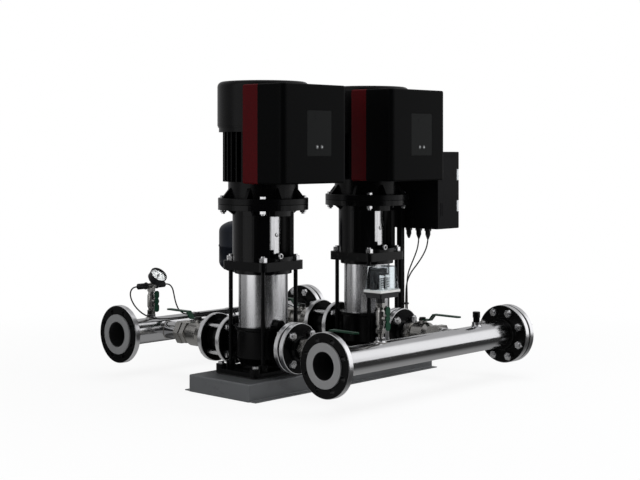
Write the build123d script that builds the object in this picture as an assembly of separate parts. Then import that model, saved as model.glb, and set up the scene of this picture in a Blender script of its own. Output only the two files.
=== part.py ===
"""Booster pump set: two vertical multistage pumps with drive boxes between a suction and a discharge manifold.

Millimetres. +X runs along the manifolds, +Y from the suction side to the discharge side, +Z up.
The origin is the middle of the base plate's anchor holes, on the floor.
"""
from build123d import *
from math import acos, cos, degrees, pi, radians, sin, sqrt, tan
import os

# Base plate: a folded steel tray that stands on two lips
base_length = 930
base_width = 284
base_height = 56
base_sheet = 3
base_bend = 5
lip_width = 25
anchor_hole = 11
anchor_inset = 35

# Pump place and foot
pump_spacing = 525
pad_thickness = 4
port_height = 90
port_to_port = 300
foot_length = 260
foot_width = 200
foot_corner = 25
foot_thickness = 14
foot_bolt_x = 115
foot_bolt_y = 80
foot_bolt = 12
foot_lug_height = 28
foot_lug_radius = 17

# Pump casting
drum_radius = 92
drum_waist = 70
drum_waist_height = 14
drum_shoulder_height = 50
casting_height = 152
casting_ring_radius = 98
casting_ring_height = 14
chamber_wall = 12
chamber_floor = 68
tower_radius = 46
tower_drop = 8
hub_radius = 40

# Small flanges of the pump ports and branches
branch_flange = 165
branch_flange_thickness = 20
branch_bolt_circle = 125
branch_bolt_count = 4
branch_bolt = 16
bolt_hole = 18
branch_bore = 50
raised_face = 102
raised_face_height = 2
gasket_thickness = 2
gasket_margin = 2
rim_chamfer = 1.5

# Pump stack: sleeve, chambers, rods and head
sleeve_radius = 82
sleeve_wall = 2
sleeve_seat = 6
sleeve_show = 173
stage_count = 4
stage_height = 38
stage_wall = 2
impeller_radius = 62
vane_count = 6
rod_diameter = 14
rod_offset = 76
rod_boss_radius = 15
rod_boss_height = 22
rod_nut_flats = 24
rod_nut_height = 15
rod_end = 5
head_radius = 95
head_rim_height = 12
head_boss_radius = 55
head_boss_height = 55
seal_radius = 30
seal_height = 12
shaft_radius = 11

# Motor stool
stool_foot_height = 30
stool_foot_side = 196
stool_foot_corner = 22
stool_radius = 102
stool_wall = 10
stool_height = 216
window_angle = 19
window_bottom = 21
window_top = 148
motor_flange = 300
stool_flange_height = 18
spigot_radius = 60
stool_rib_reach = 40
stool_rib_drop = 34
stool_rib_thickness = 8
rib_angle = 28

# Coupling guards
guard_sheet = 1.5
guard_angle = 36
guard_bottom = 13
guard_top = 161
guard_screw_angle = 24
guard_notch_radius = 16
guard_screw_radius = 4.5
guard_screw_head = 3

# Shaft coupling
coupling_radius = 35
coupling_height = 90
coupling_split = 2
coupling_rise = 45
motor_shaft_radius = 19

# Motor
motor_flange_height = 21
motor_bolt_circle = 265
motor_bolt = 12
motor_bolt_hole = 14.5
neck_radius = 116.5
neck_height = 54
core_radius = 118
fin_radius = 135
fin_count = 36
fin_thickness = 4
fin_height = 163
shield_ring_radius = 147
shield_ring_height = 15
shield_lip_radius = 150.2
shield_lip_height = 12
shield_cap_height = 6
rotor_bore = 66
rotor_gap = 1
rotor_height = 190
rotor_rise = 24
gusset_thickness = 10
gusset_height = 34

# Fan and its cover
cover_wall = 1.6
cover_gap = 0.2
fan_cover_height = 147
fan_cover_round = 18
grille_slots = 30
grille_slot_width = 5
grille_rings = ((34, 66), (76, 126))
fan_radius = 120
fan_hub_radius = 30
fan_blades = 8
fan_blade_height = 46
fan_blade_thickness = 3
fan_rise = 24

# Drive box: red rear housing, dark cover, keypad
drive_half_width = 151
drive_bottom = 684
drive_height = 319
drive_front = 241
drive_split = 127
drive_back = 60
drive_wall = 4
drive_corner = 20
drive_edge = 6
drive_seam = 0.5
drive_saddle = 154
drive_tray_front = 170
drive_lap = 0.4
pedestal_width = 124
pedestal_bottom = 712
pedestal_height = 126
pedestal_front = 158
keypad_left = -40
keypad_width = 113
keypad_bottom = 773
keypad_height = 146
keypad_corner = 4
keypad_thickness = 3
keypad_clearance = 0.3
key_radius = 6.5
key_thickness = 3.2
key_proud = 1.2
key_z = 802
key_x = (5, 27)
lens_radius = 9
lens_x = 5
lens_z = 898

# Counter flanges, valves and unions on the branches
nipple_radius = 35
nipple_length = 20
check_valve_length = 63
check_valve_radius = 53.5
check_seat_depth = 14
check_disc_radius = 29
check_disc_thickness = 6
check_chamber_radius = 35
check_travel = 10
check_stem_radius = 4
check_spider_depth = 42
check_spider_thickness = 6
valve_length = 130
valve_end_flats = 70
valve_end_length = 23
valve_neck = 33
valve_belly = 43
valve_belly_length = 46
ball_radius = 34
ball_bore = 24
ball_gap = 0.3
stem_radius = 7
stem_gap = 0.08
stem_boss_radius = 17
stem_boss_top = 45
gland_radius = 12.5
gland_height = 5
lever_width = 22
lever_thickness = 4.5
lever_tail = 14
lever_flat = 35
lever_slope = 18
lever_lift = 21
lever_reach = 163
lever_cap_radius = 11
lever_cap_height = 5
union_flats = 76
union_length = 24
tail_radius = 30.15
tail_wall = 2.6
tail_collar_radius = 33
tail_collar_length = 6
tail_length = 109

# Manifolds
manifold_radius = 44.45
manifold_wall = 2
manifold_flange = 200
manifold_flange_thickness = 20
manifold_bolt_circle = 160
manifold_bolt_count = 8
manifold_bolt = 16
collar_radius = 69
collar_thickness = 5
flange_hub_radius = 58
flange_hub_length = 12
suction_near = -460
discharge_near = -466
manifold_far = 483
manifold_clearance = 0.8
end_gasket_radius = 71

# Sockets on the manifolds
socket_radius = 15
socket_foot_radius = 19
socket_height = 12
switch_x = -197
gauge_x = -311
tank_x = 179
plug_x = 307
plug_radius = 11
plug_flats = 22
plug_neck = 15
plug_head = 20

# Small ball valves with T-handles
small_valve_length = 95
small_valve_radius = 14
small_valve_flats = 26
small_valve_end = 14
small_valve_bore = 5
small_ball_radius = 9.5
small_stem_radius = 3.5
small_boss_radius = 8
small_boss_reach = 24
small_handle_reach = 29
small_handle_length = 75
small_handle_width = 20
small_handle_thickness = 3
small_handle_waist = 12

# Gauge, its cross and the two pressure sensors
cross_radius = 10
cross_height = 14
cross_reach = 20
sensor_flats = 22
sensor_radius = 10.5
sensor_hex = 9
sensor_body = 32
sensor_cap_radius = 8
sensor_cap = 2
gauge_radius = 31.5
gauge_depth = 30
gauge_rim = 2.5
gauge_tilt = 45
gauge_stem_radius = 6
gauge_stem_length = 14
gauge_dial_depth = 8
gauge_glass_thickness = 2
needle_length = 21
needle_tail = 8
needle_width = 2.2
needle_thickness = 0.8
needle_hub_radius = 3.6
needle_pin_radius = 1.5
needle_zero = 225

# Pressure switch
switch_rise = 14
switch_base_length = 96
switch_base_width = 73
switch_base_height = 12
switch_base_corner = 4
switch_shift = 7
switch_neck_flats = 24
switch_neck_height = 17.5
switch_foot_height = 12
switch_foot_inset = 4
switch_cover_height = 73
switch_cover_taper = 6.2
switch_cover_wall = 1.8
switch_cover_inset = 3
spindle_height = 50
spindle_radius = 2.5
spring_radius = 7
spindle_x = (-12, 16)
switch_plate_width = 46
switch_plate_height = 40

# Diaphragm tank
tank_radius = 120
tank_wall = 2
tank_bottom = 312
tank_lower_dome = 57
tank_body = 113
tank_upper_dome = 53
tank_knuckle = 34
tank_seam_radius = 122
tank_seam_height = 6
tank_neck_radius = 17
tank_neck_height = 14
tank_membrane_wall = 3
tank_bore = 8

# Control cabinet
cabinet_left = 423
cabinet_depth = 92
cabinet_front = -200
cabinet_width = 295
cabinet_bottom = 505
cabinet_height = 280
cabinet_wall = 3
cabinet_corner = 4
door_depth = 31.6
door_gap = 0.4
hinge_radius = 6
hinge_pin_radius = 3
hinge_gap = 0.3
hinge_knuckle = 30
hinge_inset = 50
latch_height = 40
latch_depth = 12
latch_width = 11
latch_pin_radius = 2
latch_place = (62, 176)
latch_gap = 0.4
latch_tongue = 31
latch_play = 0.6
latch_swing = 1.8
cabinet_slots = (437, 446)
cabinet_slot_low = 48
cabinet_slot_height = 47
cabinet_slot_width = 3
mounting_plate = 2
mounting_stand = 8
gland_x = 485
gland_y = (-105, -62, -15)
gland_nut_radius = 11
gland_nut_height = 12
gland_cap_radius = 9.5
gland_cap_height = 16
gland_mouth_height = 14

# Cabinet post
post_x = 411
post_y = -36
post_side = 20
post_wall = 2
post_top = 590
post_foot = 60
post_foot_thickness = 5
rail_bottom = (512, 560)
rail_height = 26
rail_thickness = 2
rail_left = -86
rail_right = 26

# Sensor cables
cable_diameter = 5
cable_grip = 0.2
clip_width = 18
clip_height = 8.5
clip_length = 6
clip_band = 1.2
clip_x = (-110, 60, 205)
clip_angle = 125
clip_z = 225

# Worked out from the sizes above
deck = base_height
foot_z = deck + pad_thickness
port_z = foot_z + port_height
port_face = port_to_port / 2
casting_top = foot_z + casting_height
head_z = casting_top + sleeve_show
stool_foot_z = head_z + head_rim_height
stool_z = stool_foot_z + stool_foot_height
flange_joint = stool_foot_z + stool_height
neck_z = flange_joint + motor_flange_height
fins_z = neck_z + neck_height
shield_z = fins_z + fin_height
lip_z = shield_z + shield_ring_height
cover_z = lip_z + 5
shield_top = lip_z + shield_lip_height
pump_x = (-pump_spacing / 2, pump_spacing / 2)
rod_places = [(x, y) for x in (-rod_offset, rod_offset) for y in (-rod_offset, rod_offset)]
foot_bolt_places = [(x, y) for x in (-foot_bolt_x, foot_bolt_x) for y in (-foot_bolt_y, foot_bolt_y)]

flange_gap = gasket_thickness
suction_flange_y = port_face + flange_gap
check_y = port_face + flange_gap
discharge_flange_y = check_y + check_valve_length + flange_gap
chain_length = branch_flange_thickness + nipple_length + valve_length + union_length + tail_length
suction_valve_y = suction_flange_y + branch_flange_thickness + nipple_length
discharge_valve_y = discharge_flange_y + branch_flange_thickness + nipple_length
suction_y = -(suction_flange_y + chain_length)
discharge_y = discharge_flange_y + chain_length
stem_top = stem_boss_top + gland_height

BOTTOM = (Align.CENTER, Align.CENTER, Align.MIN)
TO_X = Rot(0, 90, 0)
TO_Y = Rot(-90, 0, 0)
TO_FRONT = Rot(90, 0, 0)


def solids(*shapes):
    """Every separate solid of some shapes or lists of shapes."""
    found = []
    for shape in shapes:
        found += solids(*shape) if isinstance(shape, (list, tuple)) else list(shape.solids())
    return found


def turned(*outline):
    """A solid turned about Z from outline points (radius, height)."""
    return revolve(make_face(Plane.XZ * Polyline(*outline, close=True)), Axis.Z)


def rod(radius, height, z=0.0):
    """A round bar on Z that stands at height z."""
    return Pos(0, 0, z) * Cylinder(radius, height, align=BOTTOM)


def pipe(outer, inner, height, z=0.0):
    """A tube on Z that stands at height z."""
    return rod(outer, height, z) - rod(inner, height, z)


def hexagon(flats, height, z=0.0):
    """A hexagonal bar on Z, measured across its flats."""
    outline = RegularPolygon(flats / 2, 6, major_radius=False)
    return Pos(0, 0, z) * extrude(outline, height)


def block(x, y, z):
    """A box between two limits on each axis."""
    size = Box(x[1] - x[0], y[1] - y[0], z[1] - z[0])
    return Pos((x[0] + x[1]) / 2, (y[0] + y[1]) / 2, (z[0] + z[1]) / 2) * size


def hex_bolt(diameter, grip):
    """A bolt whose head sits under z = 0 and whose nut clamps at the grip's far side."""
    flats = 1.5 * diameter
    head = 0.62 * diameter
    nut = 0.8 * diameter
    bolt = hexagon(flats, head, -head) + rod(diameter / 2, grip + nut + rod_end)
    ring = hexagon(flats, nut, grip) - rod(diameter / 2 + 0.05, nut, grip)
    return [bolt, ring]


def stud(diameter, grip):
    """A threaded stud with a nut at each end."""
    nut = 0.8 * diameter
    bar = rod(diameter / 2, grip + 2 * (nut + rod_end), -nut - rod_end)
    low = hexagon(1.5 * diameter, nut, -nut) - rod(diameter / 2 + 0.05, nut, -nut)
    high = hexagon(1.5 * diameter, nut, grip) - rod(diameter / 2 + 0.05, nut, grip)
    return [bar, low, high]


def drilled(disc, circle, count, hole, height):
    """Cuts a bolt circle that straddles the centre lines through a flange on Z."""
    holes = PolarLocations(circle / 2, count, 180 / count)
    return disc - [place * rod(hole / 2, height * 3, -height) for place in holes]


def branch_disc():
    """A small flange on Z with its raised face down at z = 0."""
    thick = branch_flange_thickness
    disc = rod(branch_flange / 2, thick - raised_face_height, raised_face_height)
    disc = chamfer(disc.edges(), rim_chamfer)
    disc += rod(raised_face / 2, thick)
    return drilled(disc, branch_bolt_circle, branch_bolt_count, bolt_hole, thick)


# Base plate and pads


def base_plate():
    tray = Pos(0, 0, deck / 2) * Box(base_length, base_width, deck)
    tray = fillet(tray.edges().filter_by(Axis.Z) + tray.edges().group_by(Axis.Z)[-1], base_bend)
    inside = Pos(0, 0, (deck - base_sheet) / 2)
    inside *= Box(base_length - 2 * base_sheet, base_width - 2 * base_sheet, deck - base_sheet)
    inner_bend = base_bend - base_sheet
    tray -= fillet(inside.edges().filter_by(Axis.Z) + inside.edges().group_by(Axis.Z)[-1], inner_bend)
    edge = base_width / 2
    for side in (-1, 1):
        near, far = sorted((side * (edge - base_sheet), side * (edge + lip_width)))
        tray += block((-base_length / 2 + base_bend, base_length / 2 - base_bend), (near, far), (0, base_sheet))
    anchor_x = base_length / 2 - anchor_inset
    anchor_y = edge + lip_width / 2
    for x in (-anchor_x, anchor_x):
        for y in (-anchor_y, anchor_y):
            tray -= Pos(x, y, 0) * rod(anchor_hole / 2, base_sheet)
    for centre in pump_x:
        for x, y in foot_bolt_places:
            tray -= Pos(centre + x, y, deck - base_sheet) * rod(foot_bolt / 2 + 1, base_sheet)
    for x, y in post_bolt_places():
        tray -= Pos(x, y, deck - base_sheet) * rod(post_bolt / 2 + 0.5, base_sheet)
    return tray


post_bolt = 8


def post_bolt_places():
    """The two bolts of the cabinet post's foot, beside the tube."""
    reach = post_foot / 2 - 9
    return [(post_x, post_y + y) for y in (-reach, reach)]


def foot_outline(shrink=0.0):
    return RectangleRounded(foot_length - shrink, foot_width - shrink, foot_corner)


def foot_pad():
    pad = Pos(0, 0, deck) * extrude(foot_outline(), pad_thickness)
    return pad - [Pos(x, y, deck) * rod(foot_bolt / 2 + 1, pad_thickness) for x, y in foot_bolt_places]


# Pump casting, sleeve, chambers and head, in the pump's own place with its axis on Z


def casting():
    body = Pos(0, 0, foot_z) * extrude(foot_outline(), foot_thickness)
    for x, y in foot_bolt_places:
        body += Pos(x, y, foot_z) * rod(foot_lug_radius, foot_lug_height)
    for x, y in rod_places:
        body += Pos(x, y, foot_z) * rod(rod_boss_radius, foot_thickness + rod_boss_height)
    body += turned(
        (0, foot_z), (drum_waist + 24, foot_z), (drum_waist + 24, foot_z + drum_waist_height),
        (drum_waist + 6, foot_z + drum_waist_height + 6), (drum_waist + 6, foot_z + drum_waist_height + 12),
        (drum_radius, foot_z + drum_shoulder_height), (drum_radius, casting_top - casting_ring_height),
        (casting_ring_radius, casting_top - casting_ring_height + 4), (casting_ring_radius, casting_top),
        (0, casting_top),
    )
    body += Pos(0, -port_face + raised_face_height, port_z) * TO_Y * rod(hub_radius, port_to_port - 2 * raised_face_height)
    body += Pos(0, -port_face, port_z) * TO_Y * branch_disc()
    body += Pos(0, port_face, port_z) * TO_FRONT * branch_disc()
    # The chamber round the suction tower, open at the top
    floor = foot_z + chamber_floor
    outer = drum_radius - chamber_wall
    body -= pipe(outer, tower_radius, casting_top - floor, floor)
    body -= rod(outer, tower_drop + sleeve_seat, casting_top - tower_drop - sleeve_seat)
    body -= rod(sleeve_radius + cable_grip / 2, sleeve_seat, casting_top - sleeve_seat)
    body += Pos(0, 0, port_z) * TO_FRONT * rod(hub_radius - 7, outer + 2)
    # The two ports and the suction eye
    body -= Pos(0, 0, port_z) * TO_FRONT * rod(branch_bore / 2, port_face)
    body -= Pos(0, tower_radius + 6, port_z) * TO_Y * rod(branch_bore / 2, port_face)
    body -= rod(branch_bore / 2, casting_top - port_z, port_z)
    for x, y in foot_bolt_places:
        body -= Pos(x, y, foot_z) * rod(foot_bolt / 2 + 1, foot_lug_height + 1)
    for x, y in rod_places:
        body -= Pos(x, y, foot_z + 4) * rod(rod_diameter / 2 + 0.05, foot_thickness + rod_boss_height)
    # Boss of the priming plug
    body += priming_place() * rod(plug_boss_radius, plug_boss_length)
    return body


plug_boss_radius = 17.5
plug_boss_length = 20
priming_x = -20
priming_rise = 8
priming_reach = 84


def priming_place():
    """Where the priming plug's boss leaves the casting, facing the front."""
    return Pos(priming_x, -priming_reach, casting_top + priming_rise) * TO_FRONT


def sleeve():
    return pipe(sleeve_radius, sleeve_radius - sleeve_wall, sleeve_show + 2 * sleeve_seat, casting_top - sleeve_seat)


def stage_z(stage):
    """Height of a stage's floor inside the sleeve."""
    return casting_top - tower_drop + 6 + stage * (stage_height + 4)


def bowl(z):
    """A chamber bowl: a cup with guide vanes' plate and an eye for the shaft."""
    outer = sleeve_radius - sleeve_wall - 0.3
    return turned(
        (shaft_radius + 14, z), (outer, z), (outer, z + stage_height), (outer - stage_wall, z + stage_height),
        (outer - stage_wall, z + stage_wall), (shaft_radius + 14, z + stage_wall),
    )


def impeller(z):
    """A closed impeller: hub, two shrouds and swept vanes between them."""
    low = z + stage_wall + 5
    shroud = pipe(impeller_radius, shaft_radius + 8, 1.6, low)
    back = pipe(impeller_radius, shaft_radius, 1.6, low + 14)
    hub = pipe(shaft_radius + 5, shaft_radius, 24, low)
    vane = block((shaft_radius + 3, impeller_radius - 2), (-1, 1), (low + 1, low + 15))
    wheel = back + hub + shroud
    for turn in range(vane_count):
        wheel += Rot(0, 0, turn * 360 / vane_count) * Pos(0, 9, 0) * Rot(0, 0, -28) * vane
    return wheel & rod(impeller_radius, 40, low)


def head():
    """The pump head: a rim that closes the sleeve and a boss that holds the shaft seal."""
    seat = head_z + sleeve_seat
    boss_top = head_z + head_boss_height
    bore = shaft_radius + stem_gap
    recess = sleeve_radius + cable_grip / 2
    top = boss_top + seal_height
    shape = turned(
        (bore, seat), (recess, seat), (recess, head_z), (head_radius, head_z), (head_radius, stool_foot_z),
        (head_boss_radius, stool_foot_z), (head_boss_radius, boss_top), (seal_radius, boss_top),
        (seal_radius, top), (bore, top),
    )
    lug = block((vent_x - vent_lug / 2, vent_x + vent_lug / 2), (-vent_lug_reach, -seal_radius - 2), (boss_top - 4, boss_top + vent_lug))
    return shape + lug


def tie_rods():
    nut_z = stool_z
    low = foot_z + 4
    pieces = []
    for x, y in rod_places:
        place = Pos(x, y, 0)
        pieces.append(place * rod(rod_diameter / 2, nut_z + rod_nut_height + rod_end - low, low))
        nut = hexagon(rod_nut_flats, rod_nut_height, nut_z)
        pieces.append(place * (nut - rod(rod_diameter / 2 + 0.05, rod_nut_height, nut_z)))
    return pieces


# Motor stool, guards and shafts


def stool():
    foot = RectangleRounded(stool_foot_side, stool_foot_side, stool_foot_corner)
    body = Pos(0, 0, stool_foot_z) * extrude(foot, stool_foot_height)
    wall_height = flange_joint - stool_z
    inner = stool_radius - stool_wall
    body += rod(stool_radius, wall_height, stool_z)
    flange_z = flange_joint - stool_flange_height
    body += rod(motor_flange / 2, stool_flange_height, flange_z)
    rib = make_face(Polyline(
        (inner + 2, flange_z), (stool_radius + stool_rib_reach, flange_z), (stool_radius - 1, flange_z - stool_rib_drop),
        (inner + 2, flange_z - stool_rib_drop), close=True))
    rib = Pos(0, stool_rib_thickness / 2, 0) * extrude(Plane.XZ * rib, stool_rib_thickness)
    for side in (0, 180):
        for turn in (-rib_angle, rib_angle):
            body += Rot(0, 0, side + turn) * rib
    body -= rod(head_boss_radius + cable_grip, stool_foot_height, stool_foot_z)
    body -= rod(inner, wall_height - stool_flange_height, stool_z)
    body -= rod(spigot_radius, stool_flange_height, flange_z)
    reach = stool_radius * sin(radians(window_angle))
    window = block((-reach, reach), (-stool_radius - 1, stool_radius + 1), (stool_z + window_bottom, stool_z + window_top))
    body -= window
    body -= Pos(vent_x, -inner + stool_wall, stool_z + vent_rise) * TO_FRONT * rod(guard_notch_radius - 2, 3 * stool_wall)
    for x, y in rod_places:
        body -= Pos(x, y, stool_foot_z) * rod(rod_diameter / 2 + 0.5, stool_foot_height)
        body -= Pos(x, y, stool_z) * rod(rod_nut_flats / sqrt(3) + 2, 34)
    return drilled(body, motor_bolt_circle, 4, motor_bolt_hole, flange_joint)


def guard(side):
    """One curved sheet over a window of the stool; the front one is notched round the vent plug."""
    outer = stool_radius + guard_sheet
    low = stool_z + guard_bottom
    sheet = pipe(outer, stool_radius, guard_top - guard_bottom, low)
    reach = stool_radius * tan(radians(guard_angle)) * 2
    wedge = make_face(Polyline((0, 0), (-reach, -2 * stool_radius), (reach, -2 * stool_radius), close=True))
    sheet &= Pos(0, 0, low) * extrude(wedge, guard_top)
    if side == 0:
        notch = block((vent_x - guard_notch_radius, vent_x + guard_notch_radius),
                      (-2 * stool_radius, 0), (low - 1, stool_z + vent_rise))
        sheet -= notch
        sheet -= Pos(vent_x, 0, stool_z + vent_rise) * TO_FRONT * rod(guard_notch_radius, 2 * stool_radius)
    pieces = [Rot(0, 0, side) * sheet]
    screw_z = stool_z + 103
    for turn in (-guard_screw_angle, guard_screw_angle):
        screw = rod(guard_screw_radius, guard_screw_head) + rod(2.5, guard_sheet, -guard_sheet)
        spot = Rot(0, 0, side + turn) * Pos(0, -outer, screw_z) * TO_FRONT * screw
        pieces[0] -= Rot(0, 0, side + turn) * Pos(0, 0, screw_z) * TO_FRONT * rod(2.6, 2 * outer)
        pieces.append(spot)
    return pieces


vent_x = -30
vent_rise = 20
vent_lug = 20
vent_lug_reach = 44
vent_stem_radius = 7
vent_flats = 20
vent_reach = 96


def rotor_shaft():
    """Everything that turns except the fan: pump shaft, impellers, coupling halves and motor shaft."""
    low = stage_z(0) - 10
    coupling_z = stool_z + coupling_rise
    middle = coupling_z + coupling_height / 2
    pump_shaft = rod(shaft_radius, middle - 2 - low, low)
    motor_low = middle + 2
    top = shield_top + fan_rise + fan_blade_height - 6
    motor_shaft = rod(motor_shaft_radius, top - motor_low, motor_low)
    core_z = neck_z + rotor_rise
    motor_shaft += rod(rotor_bore - rotor_gap, rotor_height, core_z)
    shell = rod(coupling_radius, coupling_height, coupling_z)
    shell -= rod(shaft_radius, coupling_height / 2, coupling_z)
    shell -= rod(motor_shaft_radius, coupling_height / 2, middle)
    shell -= rod(motor_shaft_radius, 4, middle - 2)
    wide = coupling_radius + 1
    halves = [
        shell & block((-wide, wide), (coupling_split / 2, wide), (coupling_z, coupling_z + coupling_height)),
        shell & block((-wide, wide), (-wide, -coupling_split / 2), (coupling_z, coupling_z + coupling_height)),
    ]
    return [pump_shaft, motor_shaft, halves, [impeller(stage_z(stage)) for stage in range(stage_count)]]


# Motor, fan and fan cover


def motor_housing():
    body = rod(motor_flange / 2, motor_flange_height, flange_joint)
    body = chamfer(body.edges(), rim_chamfer)
    body += rod(neck_radius, neck_height, neck_z)
    gusset = make_face(Polyline(
        (neck_radius - 4, neck_z), (motor_flange / 2 - 4, neck_z), (neck_radius + 2, neck_z + gusset_height),
        (neck_radius - 4, neck_z + gusset_height), close=True))
    gusset = Pos(0, gusset_thickness / 2, 0) * extrude(Plane.XZ * gusset, gusset_thickness)
    for turn in range(8):
        body += Rot(0, 0, 22.5 + turn * 45) * gusset
    fins = Circle(core_radius)
    fin = Rectangle(fin_radius - core_radius + 6, fin_thickness, align=(Align.MIN, Align.CENTER))
    for turn in range(fin_count):
        fins += Rot(0, 0, (turn + 0.5) * 360 / fin_count) * Pos(core_radius - 6, 0) * fin
    body += Pos(0, 0, fins_z) * extrude(fins, fin_height)
    half = pedestal_width / 2
    body += block((-half, half), (-pedestal_front, -core_radius / 2), (pedestal_bottom, pedestal_bottom + pedestal_height))
    body += rod(shield_ring_radius, shield_ring_height, shield_z)
    body += rod(shield_lip_radius, shield_lip_height, lip_z)
    body += rod(shield_ring_radius - 20, shield_cap_height, shield_top)
    body -= rod(rotor_bore, lip_z - neck_z - 6, neck_z + 6)
    body -= rod(motor_shaft_radius + stem_gap, shield_top + shield_cap_height - flange_joint, flange_joint)
    body -= rod(spigot_radius - 20, motor_flange_height, flange_joint)
    return drilled(body, motor_bolt_circle, 4, motor_bolt_hole, flange_joint)


def fan():
    low = shield_top + fan_rise
    bore = motor_shaft_radius
    wheel = pipe(fan_radius, bore, 3, low) + pipe(fan_hub_radius, bore, fan_blade_height, low)
    blade = block((fan_hub_radius - 2, fan_radius), (-fan_blade_thickness / 2, fan_blade_thickness / 2), (low, low + fan_blade_height))
    for turn in range(fan_blades):
        wheel += Rot(0, 0, turn * 360 / fan_blades) * blade
    return wheel & rod(fan_radius, fan_blade_height, low)


def fan_cover():
    inner = shield_lip_radius + cover_gap
    outer = inner + cover_wall
    top = cover_z + fan_cover_height
    cup = rod(outer, fan_cover_height, cover_z)
    cup = fillet(cup.edges().group_by(Axis.Z)[-1], fan_cover_round)
    hollow = rod(inner, fan_cover_height - cover_wall, cover_z)
    cup -= fillet(hollow.edges().group_by(Axis.Z)[-1], fan_cover_round - cover_wall)
    slot_half = grille_slot_width / 2
    for ring, (near, far) in enumerate(grille_rings):
        count = grille_slots if ring else grille_slots // 2
        slot = block((near, far), (-slot_half, slot_half), (top - 3 * cover_wall, top + 1))
        cup -= [Rot(0, 0, turn * 360 / count) * slot for turn in range(count)]
    return cup


def motor_bolts():
    grip = stool_flange_height + motor_flange_height
    top = flange_joint + motor_flange_height
    places = PolarLocations(motor_bolt_circle / 2, 4, 45)
    return [place * Pos(0, 0, top) * Rot(180, 0, 0) * piece for place in places for piece in hex_bolt(motor_bolt, grip)]


def foot_bolts():
    top = foot_z + foot_lug_height
    grip = top - deck + base_sheet
    bolts = [Pos(x, y, top) * Rot(180, 0, 0) * piece for x, y in foot_bolt_places for piece in hex_bolt(foot_bolt, grip)]
    return bolts


# Drive box


def drive_outline(inset=0.0):
    """Plan of the drive box, rounded at its two front corners."""
    half = drive_half_width - inset
    front = -drive_front + inset
    face = make_face(Polyline((-half, -drive_back), (-half, front), (half, front), (half, -drive_back), close=True))
    corners = face.vertices().group_by(Axis.Y)[0]
    return fillet(corners, drive_corner - inset)


def drive_block(near, far, inset=0.0):
    """The box's full height between two distances in front of the motor axis."""
    body = Pos(0, 0, drive_bottom + inset) * extrude(drive_outline(inset), drive_height - 2 * inset)
    if inset < drive_edge - 1:
        rims = body.edges().group_by(Axis.Z)
        body = fillet(rims[0] + rims[-1], drive_edge - inset)
    wide = drive_half_width + 1
    return body & block((-wide, wide), (-far, -near), (drive_bottom, drive_bottom + drive_height))


def saddle(radius):
    return rod(radius, drive_height, drive_bottom)


def drive_housing():
    body = drive_block(drive_back, drive_split)
    body += drive_block(drive_split - 1, drive_tray_front, drive_wall + drive_lap)
    tray = drive_block(drive_split + 12, drive_tray_front + 1, 3 * drive_wall)
    half = pedestal_width / 2
    z = (pedestal_bottom - 2 * drive_wall, pedestal_bottom + pedestal_height + 2 * drive_wall)
    seat = block((-half - 2 * drive_wall, half + 2 * drive_wall), (-pedestal_front - drive_wall, 0), z)
    body -= tray - saddle(drive_saddle + 10) - seat
    body -= saddle(drive_saddle)
    half = pedestal_width / 2 + drive_lap
    z = (pedestal_bottom - drive_lap, pedestal_bottom + pedestal_height + drive_lap)
    return body - block((-half, half), (-pedestal_front, 0), z)


def drive_cover():
    body = drive_block(drive_split + drive_seam, drive_front + 1)
    body -= drive_block(drive_split, drive_front - drive_wall, drive_wall)
    body -= saddle(drive_saddle + 2)
    left = keypad_left - keypad_clearance
    right = keypad_left + keypad_width + keypad_clearance
    z = (keypad_bottom - keypad_clearance, keypad_bottom + keypad_height + keypad_clearance)
    pad_floor = -drive_front + keypad_thickness + keypad_clearance
    body += block((left - 3, right + 3), (pad_floor, pad_floor + 3), (z[0] - 3, z[1] + 3))
    return body - block((left, right), (-drive_front - 1, pad_floor), z)


def key_places():
    return [Pos(x, 0, key_z) for x in key_x]


def keypad():
    front = -drive_front + keypad_clearance
    plate = RectangleRounded(keypad_width, keypad_height, keypad_corner)
    place = Pos(keypad_left + keypad_width / 2, front + keypad_thickness, keypad_bottom + keypad_height / 2)
    body = place * extrude(Plane.XZ * plate, keypad_thickness)
    for spot in key_places():
        body -= spot * Pos(0, -drive_front - 5, 0) * TO_Y * rod(key_radius + keypad_clearance, 20)
    lens_spot = Pos(lens_x, front + keypad_thickness, lens_z) * TO_FRONT
    body -= lens_spot * rod(lens_radius, keypad_thickness)
    lens = lens_spot * rod(lens_radius, keypad_thickness + 0.4)
    return [body, lens]


def key(spot):
    """A round push key that stands proud of the keypad."""
    front = -drive_front + keypad_clearance - key_proud
    button = Pos(0, front + key_thickness, 0) * TO_FRONT * rod(key_radius, key_thickness)
    return spot * fillet(button.edges().group_by(Axis.Y)[0], 0.6)


# Valves and counter flanges; each is built on Z from its pump side


def counter_flange():
    body = branch_disc()
    top = branch_flange_thickness
    body += turned((0, top - 1), (nipple_radius + 6, top - 1), (nipple_radius, top + 6), (nipple_radius, top + nipple_length), (0, top + nipple_length))
    return body - rod(branch_bore / 2, top + nipple_length)


def gasket(radius, bore, z=0.0):
    return pipe(radius, bore, gasket_thickness, z)


def valve_body():
    """A ball valve's body on Z with its stem towards -X once laid down."""
    middle = valve_length / 2
    low = middle - valve_belly_length / 2
    high = middle + valve_belly_length / 2
    end = valve_end_length
    body = turned(
        (0, 1), (valve_neck, 1), (valve_neck, end + 4), (valve_belly, low), (valve_belly, high),
        (valve_neck, valve_length - end - 4), (valve_neck, valve_length - 1), (0, valve_length - 1),
    )
    body += hexagon(valve_end_flats, end) + hexagon(valve_end_flats, end, valve_length - end)
    return body


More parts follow.
